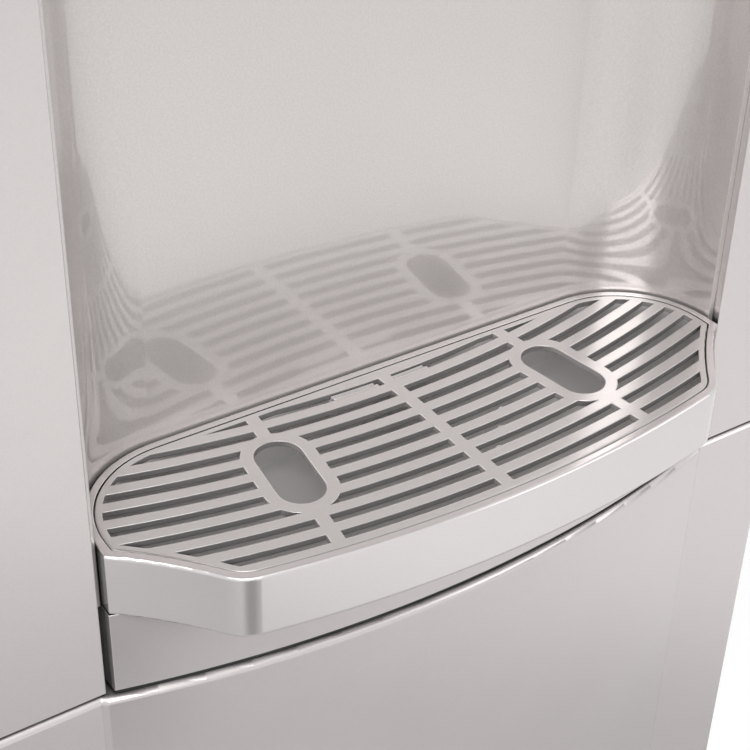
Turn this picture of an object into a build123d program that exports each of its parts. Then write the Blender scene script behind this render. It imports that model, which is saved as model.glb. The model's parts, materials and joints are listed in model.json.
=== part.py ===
from build123d import *
import os
from math import cos, radians, sin, sqrt

# Bottom load water cooler: a cabinet with a bottle bay behind a bowed door, a
# dispensing niche with a drip tray, and a control head. Millimetres, +Z up, the
# front faces -Y, and the origin is on the floor under the middle of the outline.

# ---- casing
body_width = 310.0          # across the side panels
body_depth = 312.0          # pillar faces to back panel
foot_height = 20.0
grille_height = 660.0       # floor to the top of the drip grille
niche_height = 270.0        # grille top to the underside of the head
head_height = 115.0
cover_height = 12.0
cover_edge = 2.2
panel_sheet = 1.2
moulding_wall = 2.5
outer_corner = 3.0
pillar_width = 38.75
pillar_depth = 30.5
pillar_return = 3.0
joint_gap = 0.5             # shadow line between mouldings that butt together

# ---- bowed front
bow_radius = 440.7
bow_reach = 17.0            # how far the bow stands in front of the pillars
crease_run = 1.6

# ---- niche and drip tray
niche_depth = 38.5
niche_half_width = 114.2
niche_corner = 35.2
liner_wall = 1.5
liner_flange = 12.0
tray_clearance = 0.3
tray_reach = 40.3           # how far the tray stands in front of the pillars
lip_radius = 414.0
nose_half_width = 87.1
nose_radius = 14.0
shoulder_drop = 2.0
shoulder_radius = 0.8
ogee_sag = 1.2
lip_width = 2.8
band_height = 21.5
grille_thickness = 2.0
basin_wall = 2.4
basin_floor = 1.8
moving_gap = 0.3
tray_rest_gap = 0.2

# ---- grille slots: arcs about one centre in front of the niche
slot_rows = 9
slot_pitch = 7.63
slot_width = 3.74
slot_front_border = 6.2
slot_margin = 5.3
centre_rib = 4.3
side_rib = 4.4
side_rib_angle = 7.9
oval_setback = 40.6         # lip to the middle of each oval hole
oval_half_length = 15.8
oval_half_width = 7.44
oval_rim = 4.06

# ---- shelf skirt and seam
seam_drop = 53.4            # grille top to the seam over the door
seam_gap = 1.2
skirt_gap = 2.0
skirt_half_width = 114.0
shelf_plate = 2.5
shelf_tail = 4.0             # shelf behind the niche's wall

# ---- door
door_depth = 28.0
door_seal_gap = 3.0
door_floor_gap = 3.5
door_bead = 2.2
finger_chamfer = 11.0
hinge_corner = 10.0
hinge_inset = 12.0          # side of the door to the hinge axis
hinge_setback = 14.0
hinge_pin_radius = 3.0
hinge_running_gap = 0.05
hinge_bush_radius = 5.0
hinge_bush_length = 12.0
hinge_plate = 1.5
hinge_plate_width = 20.0
hinge_plate_lead = 8.0
hinge_plate_tail = 14.0
liner_panel = 2.5
liner_margin = 4.0
liner_rib_width = 3.0
liner_rib_depth = 8.0
liner_rib_end = 30.0         # rib ends to the door's ends
panel_fit_gap = 0.2
catch_length = 40.0
catch_height = 12.0
catch_thickness = 1.5
strike_thickness = 1.2

# ---- base, deck and bottle bay
pan_height = 20.0
pan_wall = 2.0
toe_inset = 3.0
foot_radius = 17.0
foot_inset = 34.0
deck_sheet = 2.0
rail_height = 22.0
rail_depth = 18.0
rail_wall = 1.5
bottle_radius = 136.0
platform_height = 36.0
platform_recess = 6.0
platform_wall = 3.0
platform_side_gap = 6.0
platform_corner = 12.0

# ---- bottle probe, hung at the rear left of the bay
probe_side_gap = 4.8         # side panel to the probe cap
probe_rear_gap = 34.8        # back panel to the probe
dip_tube_radius = 11.0
dip_tube_bore = 8.5
dip_tube_length = 400.0
notch_rise = 20.0            # tube's end to its side inlets
notch_height = 6.0
cap_radius = 27.0
cap_height = 32.0
cap_top = 540.0
cap_flutes = 20
flute_radius = 2.0
flute_offset = 0.8           # cap's side to the flutes' axes
cap_edge = 5.0
cap_crown = 8.0              # plain band over the flutes
hanger_plate = 3.0
hanger_width = 44.0
hanger_flange = 18.0
hose_radius = 4.0
hose_spacing = 14.0
hose_run = 62.0
hose_bend = 14.0

# ---- head: controls
window_half_width = 80.0
window_height = 60.0
window_lift = 28.0          # head underside to the window
window_inset = 0.4
window_corner = 6.0
control_panel_wall = 3.0
button_radius = 11.0
button_spacing = 45.0
button_drop = 26.0          # window top to the button axes
button_proud = 2.5
button_length = 11.0
button_stem_radius = 3.0
button_stem_length = 6.0
button_travel = 3.0
button_dish = 1.0
dish_radius = 40.0
lamp_radius = 2.5
lamp_rise = 17.0
lock_drop = 20.0
lock_knob = 7.0
lock_height = 5.0
lock_travel = 7.0
lock_length = 6.0
board_sheet = 1.6
board_height = 42.0
board_half_width = 76.0
board_edge = 8.0
board_rise = 4.0            # button axes to the middle of the board
chip_size = 14.0
chip_height = 5.0
standoff_radius = 3.0

# ---- head: spouts and valves
spout_setback = 14.0
spout_length = 38.0
spout_collar_radius = 13.0
spout_collar_height = 5.0
spout_top_radius = 9.0
spout_tip_radius = 6.0
spout_bore_radius = 4.0
spout_neck_radius = 7.0
spout_neck_length = 6.0
fit_gap = 0.1
valve_body_radius = 10.0
valve_body_height = 12.0
valve_coil = 24.0
valve_coil_height = 20.0
valve_port = 14.0
lens_length = 60.0
lens_width = 9.0
lens_setback = -6.0

# ---- tanks
tank_wall = 1.2
cold_tank_radius = 75.0
cold_tank_height = 180.0
cold_tank_setback = 170.0
cold_tank_lead = 58.0         # cold tank's axis beside the compressor's
coil_tube_radius = 3.0
coil_turns = 9
coil_pitch = 15.0
coil_gap = 0.3
foam_radius = 95.0
foam_cap = 14.0
foam_seam = 0.2
tank_shelf_height = 798.0
tank_shelf_front = 70.0
tank_shelf_rear_gap = 38.8    # back panel to the shelf
lagging_side_gap = 1.8       # side panel to the lagging
hot_tank_setback = 110.0
hot_tank_radius = 50.0
hot_tank_height = 130.0
hot_tank_lift = 20.0
hot_lagging = 9.0
heater_height = 40.0
heater_thickness = 3.0
thermostat_radius = 9.0
thermostat_height = 7.0
leg_radius = 5.0

# ---- compressor, pump, drier
compressor_side_gap = 11.8   # mounting plate to the side panel
compressor_rear_gap = 45.8   # shell to the back panel
compressor_radius = 60.0
compressor_height = 140.0
compressor_dome = 34.0
mount_plate_length = 168.0
mount_plate_width = 104.0
mount_plate_sheet = 2.5
mount_plate_corner = 10.0
seam_bead = 2.0              # weld seam round the shell
seam_bead_height = 3.0
grommet_radius = 10.0
grommet_height = 12.0
grommet_inset = 12.0
relay_length = 44.0
relay_depth = 16.0
pump_side_gap = 15.8         # pump foot to the side panel
pump_setback = 92.0
pump_radius = 26.0
pump_height = 62.0
pump_foot = 66.0
pump_foot_sheet = 4.0
pump_corner = 6.0
feed_union_x = 80.0
feed_turn = 9.0
drier_base = 650.0
drier_radius = 9.0
drier_length = 90.0
pipe_radius = 3.0
port_radius = 4.5
port_length = 8.0
port_offset = 12.0
port_height = 92.0
pipe_rear_gap = 24.8         # back panel to the refrigerant pipes
pipe_turn = 10.0
suction_rise = 48.0          # tank shelf to the suction pipe
capillary_radius = 1.2
capillary_rise = 22.0
crossover_drop = 26.0        # tank shelf to the pipe under it
tube_radius = 4.0
tube_turn = 10.0
tube_plane = 58.0           # setback of the risers between niche and tanks

# ---- condenser on the back
condenser_standoff = 16.0
condenser_inset = 15.0
condenser_service_gap = 30.0
condenser_top = 950.0
condenser_pitch = 30.0
condenser_rows = 17
condenser_tube_radius = 2.4
condenser_end = 6.0         # how far the tube ends reach inside the back panel
outlet_height = 628.0
outlet_gap = 8.0
condenser_turn = 14.0
wire_radius = 0.75
wire_pitch = 9.0
wire_margin = 12.0
wire_gap = 0.05
wire_overhang = 10.0
bracket_width = 12.0
bracket_height = 14.0

# ---- service column on the back
service_inset = 25.0         # side of the casing to the switches, inlet and drain
switch_heights = (925.0, 885.0)
switch_width = 15.0
switch_height = 23.0
switch_bezel = 1.6
switch_body_depth = 13.0
rocker_width = 10.0
rocker_radius = 8.4
rocker_tilt = 8.0
rocker_waist = 2.6
rocker_lobe = 4.6
rocker_back = 4.0
rocker_sink = 2.0
inlet_height = 800.0
inlet_width = 28.0
inlet_length = 48.0
inlet_depth = 18.0
inlet_side = 2.0             # flange beside the socket's body
inlet_lug = 8.0              # flange above and below it
socket_width = 17.0
socket_length = 25.0
socket_depth = 15.0
pin_length = 9.0
pin_pitch = 7.0
pin_breadth = 4.0
pin_thickness = 2.0
drain_height = 690.0
drain_radius = 9.0
drain_bore = 5.0
drain_flange_radius = 14.0
drain_reach = 10.0
drain_inner = 14.0
drain_flange = 2.0
plug_head_radius = 11.0
plug_head = 5.0
plug_stem_length = 14.0
vent_length = 70.0
vent_width = 5.0
vent_pitch = 12.0
vent_rows = 9
screw_head_radius = 4.0
screw_head = 1.6
screw_shank_radius = 1.6
screw_inset = 12.0
screw_length = 4.0

# ---- places worked out from the sizes above
half_width = body_width / 2
pillar_inner = half_width - pillar_width
condenser_reach = condenser_standoff + condenser_tube_radius + wire_gap + 2 * wire_radius
overall_depth = tray_reach + body_depth + condenser_reach
front_y = tray_reach - overall_depth / 2
back_y = front_y + body_depth
back_inner = back_y - panel_sheet
side_inner = half_width - panel_sheet
bow_centre_y = front_y - bow_reach + bow_radius
lip_centre_y = front_y - tray_reach + lip_radius
pan_top = foot_height + pan_height
seam_z = grille_height - seam_drop
door_bottom = pan_top + door_floor_gap
door_top = seam_z - seam_gap / 2
pillar_bottom = seam_z + seam_gap / 2
door_rear = front_y + door_depth
cabinet_front = door_rear + door_seal_gap
deck_top = seam_z + skirt_gap
deck_under = deck_top - deck_sheet
shelf_top = grille_height - band_height - tray_rest_gap
niche_top = grille_height + niche_height
overall_height = niche_top + head_height
cover_z = overall_height - cover_height
head_rear = front_y + pillar_depth
hinge_x = half_width - hinge_inset
hinge_y = front_y + hinge_setback
spout_y = front_y + spout_setback
window_z = niche_top + window_lift + window_height / 2
button_places = (-button_spacing, 0, button_spacing)
button_z = window_z + window_height / 2 - button_drop
lamp_z = button_z + lamp_rise
lock_x = -button_spacing - lock_travel / 2
lock_z = button_z - lock_drop
board_z = button_z + board_rise
board_front = front_y - bow_reach - button_proud + button_length + button_stem_length + 4 * button_travel

service_x = half_width - service_inset
inlet_body_width = inlet_width - 2 * inlet_side
inlet_body_length = inlet_length - 2 * inlet_lug
probe_x = cap_radius + probe_side_gap - side_inner
probe_y = back_inner - probe_rear_gap
lagging_radius = hot_tank_radius + heater_thickness + hot_lagging
hot_tank_x = lagging_radius + lagging_side_gap - side_inner
pump_x = side_inner - pump_foot / 2 - pump_side_gap
compressor_x = side_inner - mount_plate_length / 2 - compressor_side_gap
compressor_y = back_inner - compressor_rear_gap - compressor_radius
pipe_y = back_inner - pipe_rear_gap
suction_z = tank_shelf_height + suction_rise
crossover_z = tank_shelf_height - crossover_drop

ON_FLOOR = (Align.CENTER, Align.CENTER, Align.MIN)
HANGING = (Align.CENTER, Align.CENTER, Align.MAX)

os.makedirs("parts", exist_ok=True)


def finish(piece, name):
    """Name a finished piece and write its STEP file."""
    piece.part.label = name
    export_step(piece.part, "parts/" + name + ".step")


def wall_plane(y):
    """Upright plane at y: sketch across and up, and extrude towards the front."""
    return Plane.XZ.offset(-y)


def bow_y(x, radius=bow_radius):
    """Height of the bow's plan curve at x."""
    return bow_centre_y - sqrt(radius**2 - x**2)


# ------------------------------------------------------------ plan outlines


def front_plan(rear, inset=0.0):
    """Casing outline: flat wings and a bowed middle in front, closed at rear."""
    side = half_width - inset
    wing = front_y + inset
    crease = (pillar_inner, bow_y(pillar_inner, bow_radius - inset))
    with BuildSketch() as plan:
        with BuildLine():
            ThreePointArc(
                (-crease[0], crease[1]),
                (0, bow_centre_y - bow_radius + inset),
                crease,
            )
            Polyline(
                crease,
                (pillar_inner + crease_run, wing),
                (side, wing),
                (side, rear),
                (-side, rear),
                (-side, wing),
                (-pillar_inner - crease_run, wing),
                (-crease[0], crease[1]),
            )
        make_face()
        corners = plan.vertices().filter_by(lambda v: abs(v.X) > side - 0.1 and v.Y < wing + 0.1)
        fillet(corners, max(outer_corner - inset, 0.4))
    return plan.sketch


def tray_plan(inset=0.0):
    """Drip tray outline: bowed lip, ogee shoulders and the niche's round rear corners."""
    side = niche_half_width - tray_clearance
    rear = front_y + niche_depth - tray_clearance
    corner = niche_corner - tray_clearance
    corner_x = side - corner
    corner_y = rear - corner
    diagonal = corner * sqrt(0.5)
    nose = Vector(nose_half_width, lip_centre_y - sqrt(lip_radius**2 - nose_half_width**2))
    shoulder = Vector(side, front_y - shoulder_drop)
    along = nose - shoulder
    inward = Vector(along.Y, -along.X).normalized()
    ogee = (nose + shoulder) * 0.5 + inward * ogee_sag
    with BuildSketch() as plan:
        with BuildLine():
            for s in (-1, 1):
                ThreePointArc((s * nose.X, nose.Y), (s * ogee.X, ogee.Y), (s * side, shoulder.Y))
                Line((s * side, shoulder.Y), (s * side, corner_y))
                ThreePointArc(
                    (s * side, corner_y),
                    (s * (corner_x + diagonal), corner_y + diagonal),
                    (s * corner_x, rear),
                )
            ThreePointArc((-nose.X, nose.Y), (0, lip_centre_y - lip_radius), (nose.X, nose.Y))
            Line((-corner_x, rear), (corner_x, rear))
        make_face()
        ahead = plan.vertices().filter_by(lambda v: v.Y < shoulder.Y + 0.01)
        fillet(ahead.filter_by(lambda v: abs(v.X) < nose.X + 0.01), nose_radius)
        fillet(ahead.filter_by(lambda v: abs(v.X) > side - 0.01), shoulder_radius)
        if inset > 0:
            offset(amount=-inset)
    return plan.sketch


def niche_plan(wall):
    """Niche outline grown by wall, running forward to the pillar returns."""
    half = niche_half_width + wall
    rear = front_y + niche_depth + wall
    corner = niche_corner + wall
    with BuildSketch() as plan:
        with Locations((0, (front_y + pillar_return + rear) / 2)):
            Rectangle(2 * half, rear - front_y - pillar_return)
        back_corners = plan.vertices().filter_by(lambda v: v.Y > rear - 0.1)
        room = rear - front_y - pillar_return
        fillet(back_corners, min(corner, room - 0.1))
    return plan.sketch


def oval_places():
    """Middles of the two oval holes, turned in line with the slot arcs' centre."""
    reach = lip_radius - oval_setback
    return [
        Location(
            (
                s * reach * sin(radians(side_rib_angle)),
                lip_centre_y - reach * cos(radians(side_rib_angle)),
                0,
            ),
            (0, 0, s * side_rib_angle),
        )
        for s in (-1, 1)
    ]


def slot_plan():
    """Arc slots of the grille, with the three ribs and the oval holes."""
    with BuildSketch() as slots:
        for row in range(slot_rows):
            front = lip_radius - slot_front_border - row * slot_pitch
            with Locations((0, lip_centre_y)):
                Circle(front)
                Circle(front - slot_width, mode=Mode.SUBTRACT)
        add(tray_plan(slot_margin), mode=Mode.INTERSECT)
        with Locations((0, front_y)):
            Rectangle(centre_rib, 4 * tray_reach, mode=Mode.SUBTRACT)
        with Locations(*oval_places()):
            Rectangle(side_rib, 4 * tray_reach, mode=Mode.SUBTRACT)
            SlotOverall(
                2 * (oval_half_length + oval_rim),
                2 * (oval_half_width + oval_rim),
                rotation=90,
                mode=Mode.SUBTRACT,
            )
        with Locations(*oval_places()):
            SlotOverall(2 * oval_half_length, 2 * oval_half_width, rotation=90)
    return slots.sketch


def tube_run(points, radius, bends):
    """Round tube swept along straight runs joined by arcs."""
    with BuildPart() as tube:
        with BuildLine():
            path = FilletPolyline(*points, radius=bends)
        with BuildSketch(Plane(origin=path @ 0, z_dir=path % 0)):
            Circle(radius)
        sweep()
    return tube.part


# ------------------------------------------------------------ base

pan_front = front_y + toe_inset
foot_spots = [
    (s * (half_width - foot_inset), y) for s in (-1, 1) for y in (pan_front + foot_inset, back_y - foot_inset)
]

back_screw_spots = [
    (s * (side_inner - screw_inset / 2), z)
    for s in (-1, 1)
    for z in (foot_height + screw_inset, deck_under - screw_inset, cover_z - screw_inset)
]

with BuildPart() as base_pan:
    with BuildSketch(Plane.XY.offset(foot_height)):
        with Locations((0, (pan_front + back_inner) / 2)):
            Rectangle(2 * side_inner, back_inner - pan_front)
    extrude(amount=pan_height)
    offset(amount=-pan_wall, openings=base_pan.faces().sort_by(Axis.Z)[-1])
    with BuildSketch(wall_plane(back_inner)):
        with Locations(*back_screw_spots):
            Circle(screw_shank_radius + fit_gap)
    extrude(amount=pan_wall, mode=Mode.SUBTRACT)
finish(base_pan, "base_pan")

with BuildPart() as rubber_feet:
    with Locations(*foot_spots):
        Cone(foot_radius - 2, foot_radius, foot_height, align=ON_FLOOR)
    chamfer(rubber_feet.edges().group_by(Axis.Z)[0], 1.5)
finish(rubber_feet, "rubber_feet")

# ------------------------------------------------------------ casing panels


def side_panel(side):
    """Flat steel side from the floor pan to the top cover."""
    with BuildPart() as panel:
        with BuildSketch(Plane.XY.offset(foot_height)):
            with Locations((side * (half_width - panel_sheet / 2), (cabinet_front + back_y) / 2)):
                Rectangle(panel_sheet, back_y - cabinet_front)
        extrude(amount=cover_z - foot_height)
    return panel


finish(side_panel(-1), "left_side_panel")
finish(side_panel(1), "right_side_panel")

condenser_bottom = condenser_top - condenser_rows * condenser_pitch + condenser_pitch
condenser_left = condenser_inset - half_width
condenser_right = service_x - condenser_service_gap
wire_columns = int((condenser_right - condenser_left - 2 * wire_margin) / wire_pitch) + 1
outlet_x = condenser_right + outlet_gap
condenser_holes = [(condenser_left, condenser_top), (outlet_x, outlet_height)]
vent_centre_z = deck_top + foot_height + vent_rows * vent_pitch / 2

with BuildPart() as back_panel:
    with BuildSketch(wall_plane(back_y)):
        with Locations((0, (foot_height + cover_z) / 2)):
            Rectangle(2 * side_inner, cover_z - foot_height)
        with Locations(*[(service_x, z) for z in switch_heights]):
            Rectangle(switch_width - 2, switch_height - 2, mode=Mode.SUBTRACT)
        with Locations((service_x, inlet_height)):
            Rectangle(inlet_body_width, inlet_body_length, mode=Mode.SUBTRACT)
        with Locations((service_x, drain_height)):
            Circle(drain_radius + fit_gap, mode=Mode.SUBTRACT)
        with Locations(*condenser_holes):
            Circle(condenser_tube_radius + 1, mode=Mode.SUBTRACT)
        with Locations(*back_screw_spots):
            Circle(screw_shank_radius + fit_gap, mode=Mode.SUBTRACT)
        with Locations(((condenser_left + condenser_right) / 2, vent_centre_z)):
            with GridLocations(vent_length + 2 * vent_pitch, vent_pitch, 2, vent_rows):
                SlotOverall(vent_length, vent_width, mode=Mode.SUBTRACT)
    extrude(amount=panel_sheet)
finish(back_panel, "back_panel")

with BuildPart() as back_panel_screws:
    for x, z in back_screw_spots:
        with BuildSketch(wall_plane(back_y)):
            with Locations((x, z)):
                Circle(screw_shank_radius)
        extrude(amount=screw_length)
        with BuildSketch(wall_plane(back_y)):
            with Locations((x, z)):
                Circle(screw_head_radius)
        extrude(amount=-screw_head)
finish(back_panel_screws, "back_panel_screws")

with BuildPart() as top_cover:
    with BuildSketch(Plane.XY.offset(cover_z)):
        add(front_plan(back_y))
    extrude(amount=cover_height)
    fillet(top_cover.faces().sort_by(Axis.Z)[-1].edges(), cover_edge)
    with BuildSketch(Plane.XY.offset(cover_z)):
        add(front_plan(back_y - moulding_wall, moulding_wall))
    extrude(amount=cover_height - moulding_wall, mode=Mode.SUBTRACT)
finish(top_cover, "top_cover")


def pillar(side):
    """Front pillar: a flat face with a short inner return and a deep outer one."""
    outer = side * half_width
    inner = side * pillar_inner
    with BuildPart() as post:
        with BuildSketch(Plane.XY.offset(pillar_bottom)) as plan:
            with Locations(((outer + inner) / 2, front_y + pillar_depth / 2)):
                Rectangle(pillar_width, pillar_depth)
            face_corners = plan.vertices().filter_by(lambda v: v.Y < front_y + 0.1)
            fillet(face_corners.filter_by(lambda v: abs(v.X - outer) < 0.1), outer_corner)
            fillet(face_corners.filter_by(lambda v: abs(v.X - inner) < 0.1), 1.0)
            hollow_width = pillar_width - 2 * moulding_wall
            with Locations(((outer + inner) / 2, front_y + moulding_wall + pillar_depth / 2)):
                Rectangle(hollow_width, pillar_depth, mode=Mode.SUBTRACT)
            with Locations((inner, front_y + pillar_return + pillar_depth / 2)):
                Rectangle(4 * moulding_wall, pillar_depth, mode=Mode.SUBTRACT)
        extrude(amount=niche_top - joint_gap - pillar_bottom)
        seam_edges = post.faces().sort_by(Axis.Z)[0].edges().filter_by(lambda e: e.center().Y < front_y + 1)
        chamfer(seam_edges, 0.6)
    return post


finish(pillar(-1), "left_pillar")
finish(pillar(1), "right_pillar")

# ------------------------------------------------------------ niche

with BuildPart() as niche_liner:
    with BuildSketch(Plane.XY.offset(shelf_top)):
        add(niche_plan(liner_wall))
        with Locations((0, front_y + pillar_return + liner_wall / 2)):
            Rectangle(2 * (niche_half_width + liner_flange), liner_wall)
        add(niche_plan(0), mode=Mode.SUBTRACT)
    extrude(amount=niche_top - shelf_top)
finish(niche_liner, "niche_liner")

shelf_rear = front_y + niche_depth + liner_wall + shelf_tail


def shelf_plan(inset=0.0):
    """Tray shelf outline: straight sides and rear, with the bowed skirt in front."""
    half = skirt_half_width - inset
    radius = bow_radius - inset
    edge = bow_y(half, radius)
    with BuildSketch() as plan:
        with BuildLine():
            ThreePointArc((-half, edge), (0, bow_centre_y - radius), (half, edge))
            Polyline((half, edge), (half, shelf_rear), (-half, shelf_rear), (-half, edge))
        make_face()
    return plan.sketch


with BuildPart() as tray_shelf:
    with BuildSketch(Plane.XY.offset(deck_top)):
        add(shelf_plan())
    extrude(amount=shelf_top - deck_top)
    with BuildSketch(Plane.XY.offset(deck_top)):
        add(shelf_plan(moulding_wall))
    extrude(amount=shelf_top - deck_top - shelf_plate, mode=Mode.SUBTRACT)
    chamfer(tray_shelf.edges().filter_by(lambda e: e.center().Z < deck_top + 0.1)
            .filter_by(lambda e: e.center().Y < bow_centre_y - bow_radius + 0.6), 0.8)
finish(tray_shelf, "tray_shelf")

# ------------------------------------------------------------ drip tray

tray_bottom = grille_height - band_height
grille_seat = grille_height - grille_thickness
basin_inset = lip_width + fit_gap

with BuildPart() as tray_bezel:
    with BuildSketch(Plane.XY.offset(tray_bottom)):
        add(tray_plan())
        add(tray_plan(lip_width), mode=Mode.SUBTRACT)
    extrude(amount=band_height)
    rim = tray_bezel.faces().sort_by(Axis.Z)[-1].outer_wire().edges()
    fillet(rim, 0.8)
    hem = tray_bezel.faces().sort_by(Axis.Z)[0].outer_wire().edges()
    fillet(hem, 1.2)
finish(tray_bezel, "tray_bezel")

with BuildPart() as drip_tray:
    with BuildSketch(Plane.XY.offset(tray_bottom)):
        add(tray_plan(basin_inset))
    extrude(amount=grille_seat - tray_bottom)
    with BuildSketch(Plane.XY.offset(tray_bottom + basin_floor)):
        add(tray_plan(basin_inset + basin_wall))
    extrude(amount=band_height, mode=Mode.SUBTRACT)
finish(drip_tray, "drip_tray")

with BuildPart() as drip_grille:
    with BuildSketch(Plane.XY.offset(grille_seat)):
        add(tray_plan(lip_width + moving_gap))
    extrude(amount=grille_thickness)
    with BuildSketch(Plane.XY.offset(grille_seat)):
        add(slot_plan())
    extrude(amount=grille_thickness, mode=Mode.SUBTRACT)
    border = drip_grille.faces().sort_by(Axis.Z)[-1].outer_wire().edges()
    fillet(border, 0.6)
finish(drip_grille, "drip_grille")

# ------------------------------------------------------------ deck and rail

with BuildPart() as mid_deck:
    with BuildSketch(Plane.XY.offset(deck_under)):
        with Locations((0, (cabinet_front + back_inner) / 2)):
            Rectangle(2 * side_inner, back_inner - cabinet_front)
    extrude(amount=deck_sheet)
    with BuildSketch(Plane.XY.offset(deck_under)):
        for shift in (-hose_spacing / 2, hose_spacing / 2):
            with Locations((probe_x + hose_run, probe_y + shift)):
                Circle(hose_radius + moving_gap)
    extrude(amount=deck_sheet, mode=Mode.SUBTRACT)
finish(mid_deck, "mid_deck")

with BuildPart() as front_rail:
    with BuildSketch(Plane.YZ.offset(-side_inner)):
        with Locations((cabinet_front + rail_depth / 2, deck_under - rail_height / 2)):
            Rectangle(rail_depth, rail_height)
            Rectangle(rail_depth - 2 * rail_wall, rail_height - 2 * rail_wall, mode=Mode.SUBTRACT)
    extrude(amount=2 * side_inner)
finish(front_rail, "front_rail")

# ------------------------------------------------------------ door

hinge_spot = Location((hinge_x, hinge_y))
liner_left = -half_width + finger_chamfer + liner_margin
liner_right = half_width - hinge_corner - liner_margin


def door_plan():
    """Door outline: bowed front, rounded hinge side and a finger chamfer."""
    with BuildSketch() as plan:
        add(front_plan(door_rear))
        fillet(plan.vertices().group_by(Axis.Y)[-1].sort_by(Axis.X)[-1], hinge_corner)
        chamfer(plan.vertices().group_by(Axis.Y)[-1].sort_by(Axis.X)[0], finger_chamfer)
    return plan.sketch


with BuildPart() as door_skin:
    with BuildSketch(Plane.XY.offset(door_bottom)):
        add(door_plan())
    extrude(amount=door_top - door_bottom)
    top_front = door_skin.faces().sort_by(Axis.Z)[-1].edges()
    fillet(top_front.filter_by(lambda e: e.center().Y < front_y + 0.4), door_bead)
    with BuildSketch(Plane.XY.offset(door_bottom + moulding_wall)):
        add(door_plan())
        offset(amount=-moulding_wall)
        with Locations(((liner_left + liner_right) / 2, door_rear)):
            Rectangle(liner_right - liner_left, door_depth)
    extrude(amount=door_top - door_bottom - 2 * moulding_wall, mode=Mode.SUBTRACT)
    with BuildSketch(Plane.XY.offset(door_bottom)):
        with Locations(hinge_spot):
            Circle(hinge_bush_radius + fit_gap)
    extrude(amount=door_top - door_bottom, mode=Mode.SUBTRACT)
finish(door_skin, "door_skin")

with BuildPart() as door_liner:
    with BuildSketch(wall_plane(door_rear)):
        with Locations(((liner_left + liner_right) / 2, (door_bottom + door_top) / 2)):
            Rectangle(
                liner_right - liner_left - 2 * panel_fit_gap,
                door_top - door_bottom - 2 * (moulding_wall + panel_fit_gap),
            )
    extrude(amount=liner_panel)
    with BuildSketch(wall_plane(door_rear - liner_panel)):
        with Locations((0, (door_bottom + door_top) / 2)):
            with GridLocations(half_width / 2, 0, 3, 1):
                Rectangle(liner_rib_width, door_top - door_bottom - 2 * liner_rib_end)
    extrude(amount=liner_rib_depth)
finish(door_liner, "door_liner")

with BuildPart() as hinge_bushes:
    with Locations((hinge_x, hinge_y, door_bottom), (hinge_x, hinge_y, door_top - hinge_bush_length)):
        Cylinder(hinge_bush_radius, hinge_bush_length, align=ON_FLOOR)
        Cylinder(
            hinge_pin_radius + hinge_running_gap, hinge_bush_length, align=ON_FLOOR, mode=Mode.SUBTRACT
        )
finish(hinge_bushes, "hinge_bushes")

upper_plate_z = deck_top
lower_plate_z = pan_top
plate_x = side_inner - hinge_plate_width / 2 - moulding_wall
lower_plate_width = hinge_plate_width + moulding_wall

with BuildPart() as hinge_brackets:
    with BuildSketch(Plane.XY.offset(upper_plate_z)):
        with Locations((plate_x, (front_y + hinge_plate_lead + cabinet_front + hinge_plate_tail) / 2)):
            Rectangle(hinge_plate_width, cabinet_front + hinge_plate_tail - front_y - hinge_plate_lead)
    extrude(amount=hinge_plate)
    with Locations((hinge_x, hinge_y, upper_plate_z)):
        Cylinder(hinge_pin_radius, upper_plate_z - door_top + hinge_bush_length - 1, align=HANGING)
    with BuildSketch(Plane.XY.offset(lower_plate_z)):
        with Locations((side_inner - lower_plate_width / 2, (pan_front + cabinet_front) / 2)):
            Rectangle(lower_plate_width, cabinet_front - pan_front)
    extrude(amount=hinge_plate)
    with Locations((hinge_x, hinge_y, lower_plate_z + hinge_plate)):
        Cylinder(hinge_pin_radius, door_floor_gap - hinge_plate + hinge_bush_length - 1, align=ON_FLOOR)
finish(hinge_brackets, "hinge_brackets")

catch_x = -half_width + 2 * finger_chamfer + catch_length
catch_z = deck_under - rail_height / 2

with BuildPart() as door_magnet:
    with BuildSketch(wall_plane(cabinet_front)):
        with Locations((catch_x, catch_z)):
            Rectangle(catch_length, catch_height)
    extrude(amount=catch_thickness)
finish(door_magnet, "door_magnet")

with BuildPart() as strike_plate:
    with BuildSketch(wall_plane(door_rear)):
        with Locations((catch_x, catch_z)):
            Rectangle(catch_length, catch_height - strike_thickness)
    extrude(amount=-strike_thickness)
finish(strike_plate, "strike_plate")

# ------------------------------------------------------------ bottle bay

pan_floor = foot_height + pan_wall
platform_top = pan_floor + platform_height
bay_mid_y = (cabinet_front + back_inner) / 2

with BuildPart() as bottle_platform:
    with BuildSketch(Plane.XY.offset(pan_floor)):
        with Locations((0, bay_mid_y)):
            RectangleRounded(
                2 * (side_inner - platform_side_gap),
                back_inner - cabinet_front - platform_side_gap,
                platform_corner,
            )
    extrude(amount=platform_height)
    with Locations((0, bay_mid_y, platform_top)):
        Cylinder(bottle_radius - platform_wall, platform_recess, align=HANGING, mode=Mode.SUBTRACT)
    with BuildSketch(Plane.XY.offset(pan_floor)):
        cell_x = side_inner - platform_side_gap
        cell_y = (back_inner - cabinet_front - platform_side_gap) / 2
        with Locations((0, bay_mid_y)):
            with GridLocations(cell_x, cell_y, 2, 2):
                Rectangle(cell_x - 2 * platform_wall, cell_y - 2 * platform_wall)
    extrude(amount=platform_height - platform_recess - platform_wall, mode=Mode.SUBTRACT)
finish(bottle_platform, "bottle_platform")

hanger_z = cap_top - cap_height - hanger_plate

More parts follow.
